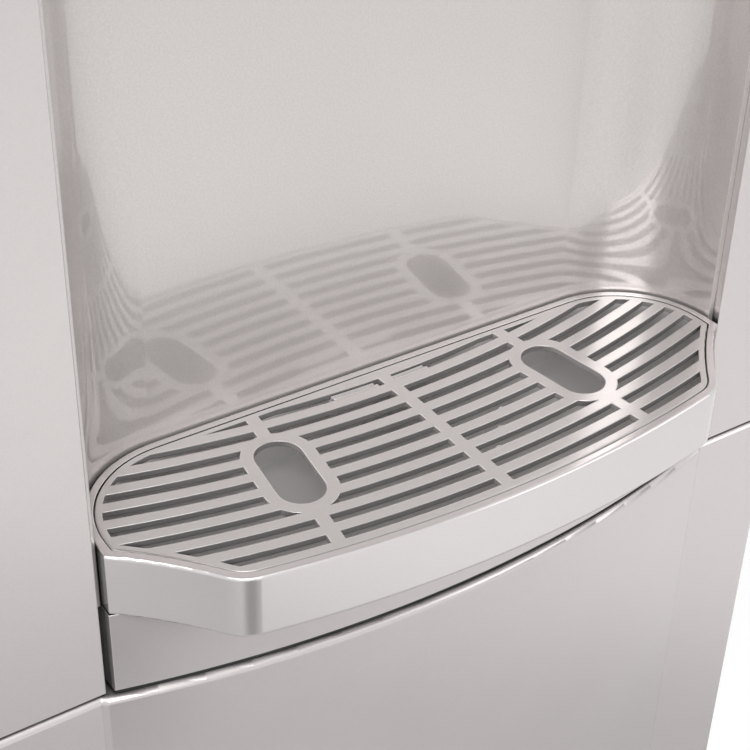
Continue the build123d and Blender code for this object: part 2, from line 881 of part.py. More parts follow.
with BuildPart() as probe_hanger:
    with BuildSketch(Plane.XY.offset(hanger_z)):
        with Locations((probe_x, (probe_y - dip_tube_radius + back_inner) / 2)):
            Rectangle(hanger_width, back_inner - probe_y + dip_tube_radius)
        with Locations((probe_x, probe_y - dip_tube_radius)):
            Rectangle(2 * (dip_tube_radius + moving_gap), 2 * dip_tube_radius, mode=Mode.SUBTRACT)
        with Locations((probe_x, probe_y)):
            Circle(dip_tube_radius + moving_gap, mode=Mode.SUBTRACT)
    extrude(amount=hanger_plate)
    with BuildSketch(wall_plane(back_inner)):
        with Locations((probe_x, hanger_z - hanger_flange / 2)):
            Rectangle(hanger_width, hanger_flange)
    extrude(amount=hanger_plate)
finish(probe_hanger, "probe_hanger")

with BuildPart() as probe_cap:
    with Locations((probe_x, probe_y, cap_top - cap_height)):
        Cylinder(cap_radius, cap_height, align=ON_FLOOR)
    fillet(probe_cap.edges().group_by(Axis.Z)[-1], cap_edge)
    with Locations((probe_x, probe_y, cap_top - cap_height)):
        with PolarLocations(cap_radius + flute_offset, cap_flutes):
            Cylinder(flute_radius, cap_height - cap_crown, align=ON_FLOOR, mode=Mode.SUBTRACT)
finish(probe_cap, "probe_cap")

with BuildPart() as dip_tube:
    with Locations((probe_x, probe_y, cap_top - cap_height)):
        Cylinder(dip_tube_radius, dip_tube_length, align=HANGING)
        Cylinder(dip_tube_bore, dip_tube_length, align=HANGING, mode=Mode.SUBTRACT)
    with Locations((probe_x, probe_y, cap_top - cap_height - dip_tube_length + notch_rise)):
        Box(3 * dip_tube_radius, dip_tube_radius / 2, notch_height, mode=Mode.SUBTRACT)
finish(dip_tube, "dip_tube")

hose_z = (cap_top + deck_under) / 2
hose_turn = min(hose_bend, (deck_under - cap_top) / 2 - 0.5)

with BuildPart() as probe_hoses:
    for shift in (-hose_spacing / 2, hose_spacing / 2):
        y = probe_y + shift
        add(
            tube_run(
                [
                    (probe_x, y, cap_top),
                    (probe_x, y, hose_z),
                    (probe_x + hose_run, y, hose_z),
                    (probe_x + hose_run, y, deck_top + pump_foot / 2),
                ],
                hose_radius,
                hose_turn,
            )
        )
finish(probe_hoses, "probe_hoses")

# ------------------------------------------------------------ head

with BuildPart() as head_shell:
    with BuildSketch(Plane.XY.offset(niche_top)):
        add(front_plan(head_rear))
        add(front_plan(head_rear + moulding_wall, moulding_wall), mode=Mode.SUBTRACT)
    extrude(amount=cover_z - niche_top)
    with BuildSketch(wall_plane(head_rear)):
        with Locations((0, window_z)):
            RectangleRounded(2 * window_half_width, window_height, window_corner)
    extrude(amount=pillar_depth + 2 * bow_reach, mode=Mode.SUBTRACT)
finish(head_shell, "head_shell")

with BuildPart() as control_panel:
    with BuildSketch(wall_plane(head_rear)):
        with Locations((0, window_z)):
            RectangleRounded(
                2 * (window_half_width - panel_fit_gap),
                window_height - 2 * panel_fit_gap,
                window_corner,
            )
    extrude(amount=pillar_depth + 2 * bow_reach)
    with BuildSketch(Plane.XY.offset(niche_top)):
        add(front_plan(head_rear, window_inset))
        add(front_plan(head_rear + 1, window_inset + control_panel_wall), mode=Mode.SUBTRACT)
    extrude(amount=head_height, mode=Mode.INTERSECT)
    with BuildSketch(wall_plane(board_front)):
        with Locations((0, board_z)):
            with GridLocations(2 * (board_half_width - board_edge), board_height - 2 * board_edge, 2, 2):
                Circle(standoff_radius)
    extrude(amount=board_front - bow_y(board_half_width - board_edge) - window_inset - 1)
    with BuildSketch(wall_plane(head_rear)):
        with Locations(*[(x, button_z) for x in button_places]):
            Circle(button_radius + moving_gap)
        with Locations(*[(x, lamp_z) for x in button_places]):
            Circle(lamp_radius + fit_gap)
        with Locations((lock_x + lock_travel / 2, lock_z)):
            Rectangle(lock_knob + lock_travel + 2 * moving_gap, lock_height + 2 * moving_gap)
    extrude(amount=pillar_depth + 2 * bow_reach, mode=Mode.SUBTRACT)
finish(control_panel, "control_panel")


def push_button(x):
    """Round push button with a dished face and a stem towards the board."""
    face_y = bow_y(abs(x)) - button_proud
    with BuildPart() as button:
        with BuildSketch(wall_plane(face_y + button_length)):
            with Locations((x, button_z)):
                Circle(button_radius)
        extrude(amount=button_length)
        rim_edges = button.faces().sort_by(Axis.Y)[0].edges()
        fillet(rim_edges, 1.2)
        with Locations((x, face_y - dish_radius + button_dish, button_z)):
            Sphere(dish_radius, mode=Mode.SUBTRACT)
        with BuildSketch(wall_plane(face_y + button_length + button_stem_length)):
            with Locations((x, button_z)):
                Circle(button_stem_radius)
        extrude(amount=button_stem_length)
    return button


for name, x in zip(("hot_button", "room_button", "cold_button"), button_places):
    finish(push_button(x), name)

with BuildPart() as child_lock:
    with BuildSketch(wall_plane(bow_y(lock_x) + lock_length)):
        with Locations((lock_x, lock_z)):
            Rectangle(lock_knob, lock_height)
    extrude(amount=lock_length + button_proud)
    fillet(child_lock.faces().sort_by(Axis.Y)[0].edges(), 0.8)
finish(child_lock, "child_lock")

with BuildPart() as indicator_lenses:
    for x in button_places:
        with BuildSketch(wall_plane(bow_y(x) + window_inset + control_panel_wall)):
            with Locations((x, lamp_z)):
                Circle(lamp_radius)
        extrude(amount=control_panel_wall)
finish(indicator_lenses, "indicator_lenses")

with BuildPart() as control_board:
    with BuildSketch(wall_plane(board_front + board_sheet)):
        with Locations((0, board_z)):
            Rectangle(2 * board_half_width, board_height)
    extrude(amount=board_sheet)
    with BuildSketch(wall_plane(board_front + board_sheet + chip_height)):
        with Locations((0, board_z)):
            with GridLocations(board_half_width / 2, board_height / 2, 3, 2):
                Rectangle(chip_size, chip_size / 2)
    extrude(amount=chip_height)
finish(control_board, "control_board")

# ------------------------------------------------------------ spouts

with BuildPart() as spout_panel:
    with BuildSketch(Plane.XY.offset(niche_top)):
        add(front_plan(front_y + niche_depth + shelf_tail, moulding_wall + panel_fit_gap))
        with Locations(*[(x, spout_y) for x in button_places]):
            Circle(spout_neck_radius + fit_gap, mode=Mode.SUBTRACT)
        with Locations((0, front_y + lens_setback)):
            SlotOverall(lens_length + 2 * fit_gap, lens_width + 2 * fit_gap, mode=Mode.SUBTRACT)
    extrude(amount=moulding_wall)
finish(spout_panel, "spout_panel")

with BuildPart() as night_light_lens:
    with BuildSketch(Plane.XY.offset(niche_top)):
        with Locations((0, front_y + lens_setback)):
            SlotOverall(lens_length, lens_width)
    extrude(amount=moulding_wall)
finish(night_light_lens, "night_light_lens")


with BuildPart() as spouts:
    with Locations(*[(x, spout_y, niche_top) for x in button_places]):
        Cylinder(spout_collar_radius, spout_collar_height, align=HANGING)
        Cylinder(spout_neck_radius, spout_neck_length, align=ON_FLOOR)
    with Locations(*[(x, spout_y, niche_top - spout_collar_height) for x in button_places]):
        Cone(spout_tip_radius, spout_top_radius, spout_length - spout_collar_height, align=HANGING)
    chamfer(spouts.edges().group_by(Axis.Z)[0], 0.6)
    with Locations(*[(x, spout_y, niche_top - spout_length) for x in button_places]):
        Cylinder(spout_bore_radius, spout_length + spout_neck_length, align=ON_FLOOR, mode=Mode.SUBTRACT)
finish(spouts, "spouts")

valve_z = niche_top + spout_neck_length
valve_port_z = valve_z + valve_body_height / 2

with BuildPart() as solenoid_valves:
    with Locations(*[(x, spout_y, valve_z) for x in button_places]):
        Cylinder(valve_body_radius, valve_body_height, align=ON_FLOOR)
    with Locations(*[(x, spout_y, valve_z + valve_body_height) for x in button_places]):
        Box(valve_coil, valve_coil, valve_coil_height, align=ON_FLOOR)
    for x in button_places:
        with BuildSketch(wall_plane(spout_y + valve_port)):
            with Locations((x, valve_port_z)):
                Circle(tube_radius)
        extrude(amount=valve_port)
finish(solenoid_valves, "solenoid_valves")

# ------------------------------------------------------------ cold side

tank_x = compressor_x - cold_tank_lead
tank_y = front_y + cold_tank_setback
foam_top = tank_shelf_height + cold_tank_height + 2 * foam_cap
cavity_radius = cold_tank_radius + coil_gap + 2 * coil_tube_radius + coil_gap
suction_x = compressor_x + port_offset
cavity_chord = sqrt(cavity_radius**2 - (suction_x - tank_x) ** 2)
shelf_front_y = front_y + tank_shelf_front
shelf_back_y = back_inner - tank_shelf_rear_gap

with BuildPart() as tank_shelf:
    with BuildSketch(Plane.XY.offset(tank_shelf_height - deck_sheet)):
        with Locations((0, (shelf_front_y + shelf_back_y) / 2)):
            Rectangle(2 * side_inner, shelf_back_y - shelf_front_y)
    extrude(amount=deck_sheet)
finish(tank_shelf, "tank_shelf")

with BuildPart() as cold_tank:
    with Locations((tank_x, tank_y, tank_shelf_height + foam_cap)):
        Cylinder(cold_tank_radius, cold_tank_height, align=ON_FLOOR)
    with Locations((tank_x, tank_y, tank_shelf_height + foam_cap + tank_wall)):
        Cylinder(
            cold_tank_radius - tank_wall,
            cold_tank_height - 2 * tank_wall,
            align=ON_FLOOR,
            mode=Mode.SUBTRACT,
        )
finish(cold_tank, "cold_tank")

with BuildPart() as evaporator_coil:
    coil_radius = cold_tank_radius + coil_gap + coil_tube_radius
    coil_base = tank_shelf_height + foam_cap + (cold_tank_height - coil_turns * coil_pitch) / 2
    with BuildLine():
        winding = Helix(coil_pitch, coil_turns * coil_pitch, coil_radius, center=(tank_x, tank_y, coil_base))
    with BuildSketch(Plane(origin=winding @ 0, z_dir=winding % 0)):
        Circle(coil_tube_radius)
    sweep()
finish(evaporator_coil, "evaporator_coil")

with BuildPart() as cold_tank_foam:
    with Locations((tank_x, tank_y, tank_shelf_height)):
        Cylinder(foam_radius, cold_tank_height + foam_cap, align=ON_FLOOR)
    with Locations((tank_x, tank_y, tank_shelf_height + foam_cap)):
        Cylinder(cavity_radius, cold_tank_height, align=ON_FLOOR, mode=Mode.SUBTRACT)
    with BuildSketch(wall_plane(tank_y + foam_radius)):
        with Locations((suction_x, suction_z)):
            Circle(pipe_radius + fit_gap)
        with Locations((suction_x, suction_z + capillary_rise)):
            Circle(capillary_radius + fit_gap)
    extrude(amount=foam_radius - cavity_chord, mode=Mode.SUBTRACT)
    with Locations((tank_x, tank_y, foam_top - foam_cap + foam_seam)):
        Cylinder(foam_radius, foam_cap - foam_seam, align=ON_FLOOR)
finish(cold_tank_foam, "cold_tank_foam")

# ------------------------------------------------------------ hot side

hot_y = front_y + hot_tank_setback
hot_base = deck_top + hot_tank_lift
hot_top = hot_base + hot_tank_height

with BuildPart() as hot_tank:
    with Locations((hot_tank_x, hot_y, hot_base)):
        Cylinder(hot_tank_radius, hot_tank_height, align=ON_FLOOR)
    with Locations((hot_tank_x, hot_y, hot_base + tank_wall)):
        Cylinder(
            hot_tank_radius - tank_wall, hot_tank_height - 2 * tank_wall, align=ON_FLOOR, mode=Mode.SUBTRACT
        )
    with Locations((hot_tank_x, hot_y, deck_top)):
        with PolarLocations(hot_tank_radius - 2 * leg_radius, 3):
            Cylinder(leg_radius, hot_tank_lift, align=ON_FLOOR)
finish(hot_tank, "hot_tank")

with BuildPart() as band_heater:
    with Locations((hot_tank_x, hot_y, hot_base + heater_height / 2)):
        Cylinder(hot_tank_radius + heater_thickness, heater_height, align=ON_FLOOR)
        Cylinder(hot_tank_radius, heater_height, align=ON_FLOOR, mode=Mode.SUBTRACT)
finish(band_heater, "band_heater")

with BuildPart() as hot_tank_lagging:
    with Locations((hot_tank_x, hot_y, hot_base)):
        Cylinder(lagging_radius, hot_tank_height - thermostat_height, align=ON_FLOOR)
        Cylinder(
            hot_tank_radius + heater_thickness, hot_tank_height, align=ON_FLOOR, mode=Mode.SUBTRACT
        )
finish(hot_tank_lagging, "hot_tank_lagging")

with BuildPart() as thermostats:
    with Locations((hot_tank_x, hot_y, hot_top)):
        with PolarLocations(hot_tank_radius / 2, 2, start_angle=120):
            Cylinder(thermostat_radius, thermostat_height, align=ON_FLOOR)
finish(thermostats, "thermostats")

# ------------------------------------------------------------ water tubes

riser_y = front_y + tube_plane
lid_run_z = foam_top + tube_turn + tube_radius
union_y = tank_y - foam_radius / 2
under_shelf_z = (hot_top + tank_shelf_height - deck_sheet) / 2
pump_y = front_y + pump_setback
pump_top = deck_top + pump_height


def lid_tube(x):
    """Tube from a valve, over the foam lid and down into it."""
    return tube_run(
        [
            (x, spout_y + valve_port, valve_port_z),
            (x, riser_y, valve_port_z),
            (x, riser_y, lid_run_z),
            (x, union_y, lid_run_z),
            (x, union_y, foam_top),
        ],
        tube_radius,
        tube_turn,
    )


with BuildPart() as water_tubes:
    add(lid_tube(button_places[1]))
    add(lid_tube(button_places[2]))
    add(
        tube_run(
            [
                (button_places[0], spout_y + valve_port, valve_port_z),
                (button_places[0], riser_y, valve_port_z),
                (button_places[0], riser_y, under_shelf_z),
                (hot_tank_x, hot_y, under_shelf_z),
                (hot_tank_x, hot_y, hot_top),
            ],
            tube_radius,
            tube_turn,
        )
    )
    add(
        tube_run(
            [
                (pump_x, pump_y, pump_top),
                (pump_x, pump_y, under_shelf_z),
                (pump_x, riser_y, under_shelf_z),
                (pump_x, riser_y, lid_run_z),
                (feed_union_x, union_y, lid_run_z),
                (feed_union_x, union_y, foam_top),
            ],
            tube_radius,
            feed_turn,
        )
    )
finish(water_tubes, "water_tubes")

with BuildPart() as water_pump:
    with BuildSketch(Plane.XY.offset(deck_top)):
        with Locations((pump_x, pump_y)):
            RectangleRounded(pump_foot, pump_foot, pump_corner)
    extrude(amount=pump_foot_sheet)
    with Locations((pump_x, pump_y, deck_top + pump_foot_sheet)):
        Cylinder(pump_radius, pump_height - pump_foot_sheet, align=ON_FLOOR)
    fillet(water_pump.edges().group_by(Axis.Z)[-1], pump_corner)
finish(water_pump, "water_pump")

# ------------------------------------------------------------ refrigeration

plate_z = deck_top + grommet_height
grommet_spots = [
    (
        compressor_x + sx * (mount_plate_length / 2 - grommet_inset),
        compressor_y + sy * (mount_plate_width / 2 - grommet_inset),
    )
    for sx in (-1, 1)
    for sy in (-1, 1)
]
port_z = plate_z + port_height

with BuildPart() as compressor_grommets:
    with Locations(*[(x, y, deck_top) for x, y in grommet_spots]):
        Cylinder(grommet_radius, grommet_height, align=ON_FLOOR)
    fillet(compressor_grommets.edges().group_by(Axis.Z)[0], 2)
finish(compressor_grommets, "compressor_grommets")

with BuildPart() as compressor:
    with Locations((compressor_x, compressor_y, plate_z)):
        Cylinder(compressor_radius, compressor_height, align=ON_FLOOR)
    fillet(compressor.edges().group_by(Axis.Z)[-1], compressor_dome)
    fillet(compressor.edges().group_by(Axis.Z)[0], compressor_dome / 2)
    with BuildSketch(Plane.XY.offset(plate_z)):
        with Locations((compressor_x, compressor_y)):
            RectangleRounded(mount_plate_length, mount_plate_width, mount_plate_corner)
    extrude(amount=mount_plate_sheet)
    with Locations((compressor_x, compressor_y, plate_z + compressor_height / 2)):
        Cylinder(compressor_radius + seam_bead, seam_bead_height)
    with BuildSketch(wall_plane(compressor_y + compressor_radius + port_length)):
        with Locations((compressor_x - port_offset, port_z), (compressor_x + port_offset, port_z)):
            Circle(port_radius)
    extrude(amount=2 * port_length)
    with BuildSketch(wall_plane(compressor_y - compressor_radius + 2)):
        with Locations((compressor_x, plate_z + compressor_height / 2)):
            Rectangle(relay_length, relay_length)
    extrude(amount=relay_depth)
finish(compressor, "compressor")

port_y = compressor_y + compressor_radius + port_length

with BuildPart() as refrigerant_pipes:
    add(
        tube_run(
            [
                (suction_x, port_y, port_z),
                (suction_x, pipe_y, port_z),
                (suction_x, pipe_y, suction_z),
                (suction_x, tank_y + cavity_chord + pipe_radius, suction_z),
            ],
            pipe_radius,
            pipe_turn,
        )
    )
    add(
        tube_run(
            [
                (compressor_x - port_offset, port_y, port_z),
                (compressor_x - port_offset, pipe_y, port_z),
                (compressor_x - port_offset, pipe_y, crossover_z),
                (condenser_left, pipe_y, crossover_z),
                (condenser_left, pipe_y, condenser_top),
                (condenser_left, back_inner - condenser_end, condenser_top),
            ],
            condenser_tube_radius,
            pipe_turn,
        )
    )
    add(
        tube_run(
            [
                (outlet_x, pipe_y, drier_base + drier_length),
                (outlet_x, pipe_y, suction_z + capillary_rise),
                (suction_x, pipe_y, suction_z + capillary_rise),
                (suction_x, tank_y + cavity_chord + pipe_radius, suction_z + capillary_rise),
            ],
            capillary_radius,
            pipe_turn,
        )
    )
finish(refrigerant_pipes, "refrigerant_pipes")

with BuildPart() as filter_drier:
    with Locations((outlet_x, pipe_y, drier_base)):
        Cylinder(drier_radius, drier_length, align=ON_FLOOR)
    fillet(filter_drier.edges().filter_by(GeomType.CIRCLE), drier_radius / 2)
    add(
        tube_run(
            [
                (outlet_x, back_inner - condenser_end, outlet_height),
                (outlet_x, pipe_y, outlet_height),
                (outlet_x, pipe_y, drier_base + drier_radius),
            ],
            condenser_tube_radius,
            pipe_turn,
        )
    )
finish(filter_drier, "filter_drier")

condenser_y = back_y + condenser_standoff
condenser_rows_z = [condenser_top - row * condenser_pitch for row in range(condenser_rows)]
serpentine = [(condenser_left, back_inner - condenser_end, condenser_top)]
for row, z in enumerate(condenser_rows_z):
    ends = (condenser_left, condenser_right) if row % 2 == 0 else (condenser_right, condenser_left)
    serpentine += [(x, condenser_y, z) for x in ends]
serpentine[-1] = (outlet_x, condenser_y, condenser_rows_z[-1])
serpentine += [
    (outlet_x, condenser_y, outlet_height),
    (outlet_x, back_inner - condenser_end, outlet_height),
]
wire_centre_z = (condenser_top + condenser_bottom) / 2
wire_length = condenser_top - condenser_bottom + 2 * wire_overhang
wire_offset = condenser_tube_radius + wire_gap + wire_radius

with BuildPart() as condenser:
    add(tube_run(serpentine, condenser_tube_radius, condenser_turn))
    wire_centre_x = (condenser_left + condenser_right) / 2
    with Locations(*[(wire_centre_x, condenser_y + s * wire_offset, wire_centre_z) for s in (-1, 1)]):
        with GridLocations(wire_pitch, 1, wire_columns, 1):
            Cylinder(wire_radius, wire_length)
    with BuildSketch(wall_plane(condenser_y - wire_offset)):
        with Locations(((condenser_left + condenser_right) / 2, wire_centre_z)):
            with GridLocations(wire_columns * wire_pitch, wire_length - 2 * condenser_pitch, 2, 2):
                Rectangle(bracket_width, bracket_height)
    extrude(amount=condenser_standoff - wire_offset)
finish(condenser, "condenser")

# ------------------------------------------------------------ service column

rocker_y = back_y - rocker_sink

with BuildPart() as switch_frames:
    for z in switch_heights:
        with BuildSketch(wall_plane(back_y + switch_bezel)):
            with Locations((service_x, z)):
                Rectangle(switch_width, switch_height)
        extrude(amount=switch_bezel)
        with BuildSketch(wall_plane(back_y)):
            with Locations((service_x, z)):
                Rectangle(switch_width - 2 - 2 * fit_gap, switch_height - 2 - 2 * fit_gap)
        extrude(amount=switch_body_depth)
        with BuildSketch(wall_plane(back_y + switch_bezel)):
            with Locations((service_x, z)):
                Rectangle(rocker_width + 2 * moving_gap, 2 * (rocker_radius + moving_gap))
        extrude(amount=switch_body_depth, mode=Mode.SUBTRACT)
finish(switch_frames, "switch_frames")


def rocker(z):
    """Rocker key: a drum about its pivot with a shallow vee face, at rest tipped down."""
    with BuildPart() as key:
        with BuildSketch(Plane.YZ.offset(service_x - rocker_width / 2)):
            with Locations(Location((rocker_y, z, 0), (0, 0, rocker_tilt))):
                Circle(rocker_radius)
                with Locations((-rocker_radius - rocker_back, 0)):
                    Rectangle(2 * rocker_radius, 2 * rocker_radius, mode=Mode.SUBTRACT)
                with BuildLine():
                    Polyline(
                        (rocker_waist, 0),
                        (rocker_lobe, rocker_radius),
                        (2 * rocker_radius, rocker_radius),
                        (2 * rocker_radius, -rocker_radius),
                        (rocker_lobe, -rocker_radius),
                        (rocker_waist, 0),
                    )
                make_face(mode=Mode.SUBTRACT)
        extrude(amount=rocker_width)
    return key


for name, z in zip(("heating_switch", "cooling_switch"), switch_heights):
    finish(rocker(z), name)

with BuildPart() as power_inlet:
    with BuildSketch(wall_plane(back_y + switch_bezel)):
        with Locations((service_x, inlet_height)):
            RectangleRounded(inlet_width, inlet_length, 4)
    extrude(amount=switch_bezel)
    with BuildSketch(wall_plane(back_y)):
        with Locations((service_x, inlet_height)):
            Rectangle(inlet_body_width - 2 * fit_gap, inlet_body_length - 2 * fit_gap)
    extrude(amount=inlet_depth)
    with BuildSketch(wall_plane(back_y + switch_bezel)):
        with Locations((service_x, inlet_height)):
            RectangleRounded(socket_width, socket_length, 3)
    extrude(amount=socket_depth, mode=Mode.SUBTRACT)
    with BuildSketch(wall_plane(back_y + switch_bezel - socket_depth + pin_length)):
        with Locations((service_x, inlet_height)):
            with GridLocations(1, pin_pitch, 1, 3):
                Rectangle(pin_breadth, pin_thickness)
    extrude(amount=pin_length)
finish(power_inlet, "power_inlet")

with BuildPart() as drain_outlet:
    with BuildSketch(wall_plane(back_y + drain_reach)):
        with Locations((service_x, drain_height)):
            Circle(drain_radius)
    extrude(amount=drain_reach + drain_inner)
    with BuildSketch(wall_plane(back_y + drain_flange)):
        with Locations((service_x, drain_height)):
            Circle(drain_flange_radius)
    extrude(amount=drain_flange)
    with BuildSketch(wall_plane(back_y + drain_reach)):
        with Locations((service_x, drain_height)):
            Circle(drain_bore)
    extrude(amount=drain_reach + drain_inner, mode=Mode.SUBTRACT)
finish(drain_outlet, "drain_outlet")

with BuildPart() as drain_plug:
    with BuildSketch(wall_plane(back_y + drain_reach + moving_gap + plug_head)):
        with Locations((service_x, drain_height)):
            Circle(plug_head_radius)
    extrude(amount=plug_head)
    chamfer(drain_plug.faces().sort_by(Axis.Y)[-1].edges(), 1)
    with BuildSketch(wall_plane(back_y + drain_reach + moving_gap)):
        with Locations((service_x, drain_height)):
            Circle(drain_bore - moving_gap)
    extrude(amount=plug_stem_length)
finish(drain_plug, "drain_plug")
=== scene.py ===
"""Looks of a bottom load water cooler: finishes, small details, signs, stage and camera."""

import json
import math

import bmesh
import bpy
from mathutils import Matrix, Vector


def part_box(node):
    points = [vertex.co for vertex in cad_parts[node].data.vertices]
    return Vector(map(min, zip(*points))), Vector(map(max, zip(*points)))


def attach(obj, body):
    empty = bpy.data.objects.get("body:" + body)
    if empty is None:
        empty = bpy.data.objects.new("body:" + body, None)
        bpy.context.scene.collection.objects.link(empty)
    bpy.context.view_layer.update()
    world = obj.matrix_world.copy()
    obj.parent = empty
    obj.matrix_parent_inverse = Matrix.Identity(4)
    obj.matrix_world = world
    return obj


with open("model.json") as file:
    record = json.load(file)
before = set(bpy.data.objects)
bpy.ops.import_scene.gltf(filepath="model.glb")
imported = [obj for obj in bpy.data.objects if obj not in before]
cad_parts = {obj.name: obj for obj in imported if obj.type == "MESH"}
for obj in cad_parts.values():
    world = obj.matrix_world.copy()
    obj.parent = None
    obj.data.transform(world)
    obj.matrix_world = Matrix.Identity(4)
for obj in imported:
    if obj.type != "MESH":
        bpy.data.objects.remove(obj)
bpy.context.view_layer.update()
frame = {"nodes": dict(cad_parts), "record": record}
nodes = frame["nodes"]

# ---------------------------------------------------------------- camera

SENSOR = 36.0
IMAGE_PIXELS = 750
FOCAL_PIXELS = 1625.5
CLIP_START = 0.01
CAMERA_PLACE = Vector((-0.2457, -0.4678, 0.9496))
CAMERA_YAW = math.radians(34.4775)      # from straight ahead towards +X
CAMERA_PITCH = math.radians(33.937)     # down
CAMERA_ROLL = math.radians(1.534)


def add_camera():
    """The photograph's viewpoint, from the left and above the tray."""
    flat = Vector((math.sin(CAMERA_YAW), math.cos(CAMERA_YAW), 0))
    ahead = flat * math.cos(CAMERA_PITCH) - Vector((0, 0, math.sin(CAMERA_PITCH)))
    sideways = Vector((math.cos(CAMERA_YAW), -math.sin(CAMERA_YAW), 0))
    upright = sideways.cross(ahead)
    right = sideways * math.cos(CAMERA_ROLL) + upright * math.sin(CAMERA_ROLL)
    up = upright * math.cos(CAMERA_ROLL) - sideways * math.sin(CAMERA_ROLL)
    data = bpy.data.cameras.new("photo_camera")
    data.sensor_width = SENSOR
    data.lens = FOCAL_PIXELS * SENSOR / IMAGE_PIXELS
    data.clip_start = CLIP_START
    camera = bpy.data.objects.new("photo_camera", data)
    bpy.context.scene.collection.objects.link(camera)
    turn = Matrix((right, up, -ahead)).transposed()
    camera.matrix_world = Matrix.Translation(CAMERA_PLACE) @ turn.to_4x4()
    bpy.context.scene.camera = camera


# ---------------------------------------------------------------- material graphs

BLACK = (0, 0, 0, 1)
WHITE = (1, 1, 1, 1)
BEVEL_SAMPLES = 8
HOLLOW_SAMPLES = 12
WEAR_PATCHES = 180                      # patches of edge wear per metre
WALL_SHADE = 0.36                       # painted shade, with thinner paint there: the paint's colour on walls facing forward or back
CREVICE_SHADE = 0.04                    # painted shade: the paint's colour deep in crevices


def scaled(colour, factor):
    return tuple(min(c * factor, 1) for c in colour)


def add_node(tree, kind, inputs=None, **settings):
    """A shader node whose inputs are plain values or other nodes' sockets."""
    node = tree.nodes.new(kind)
    for key, value in settings.items():
        setattr(node, key, value)
    for socket, value in (inputs or {}).items():
        if isinstance(value, bpy.types.NodeSocket):
            tree.links.new(value, node.inputs[socket])
        else:
            node.inputs[socket].default_value = value
    return node


def calculated(tree, operation, *values):
    """The result of a Math node."""
    node = add_node(tree, "ShaderNodeMath", dict(enumerate(values)), operation=operation)
    return node.outputs[0]


def measured(tree, operation, *vectors):
    """The number that a Vector Math node gives."""
    node = add_node(tree, "ShaderNodeVectorMath", dict(enumerate(vectors)), operation=operation)
    return node.outputs["Value"]


def mapped(tree, value, span, shape="LINEAR"):
    """The result of a Map Range node."""
    inputs = {"Value": value, **span}
    node = add_node(tree, "ShaderNodeMapRange", inputs, interpolation_type=shape)
    return node.outputs["Result"]


def mixed_colour(tree, amount, first, second):
    """The colour amount of the way from first to second."""
    # A Mix node's colours are its inputs 6 and 7 and its output 2.
    inputs = {0: amount, 6: first, 7: second}
    return add_node(tree, "ShaderNodeMix", inputs, data_type="RGBA").outputs[2]


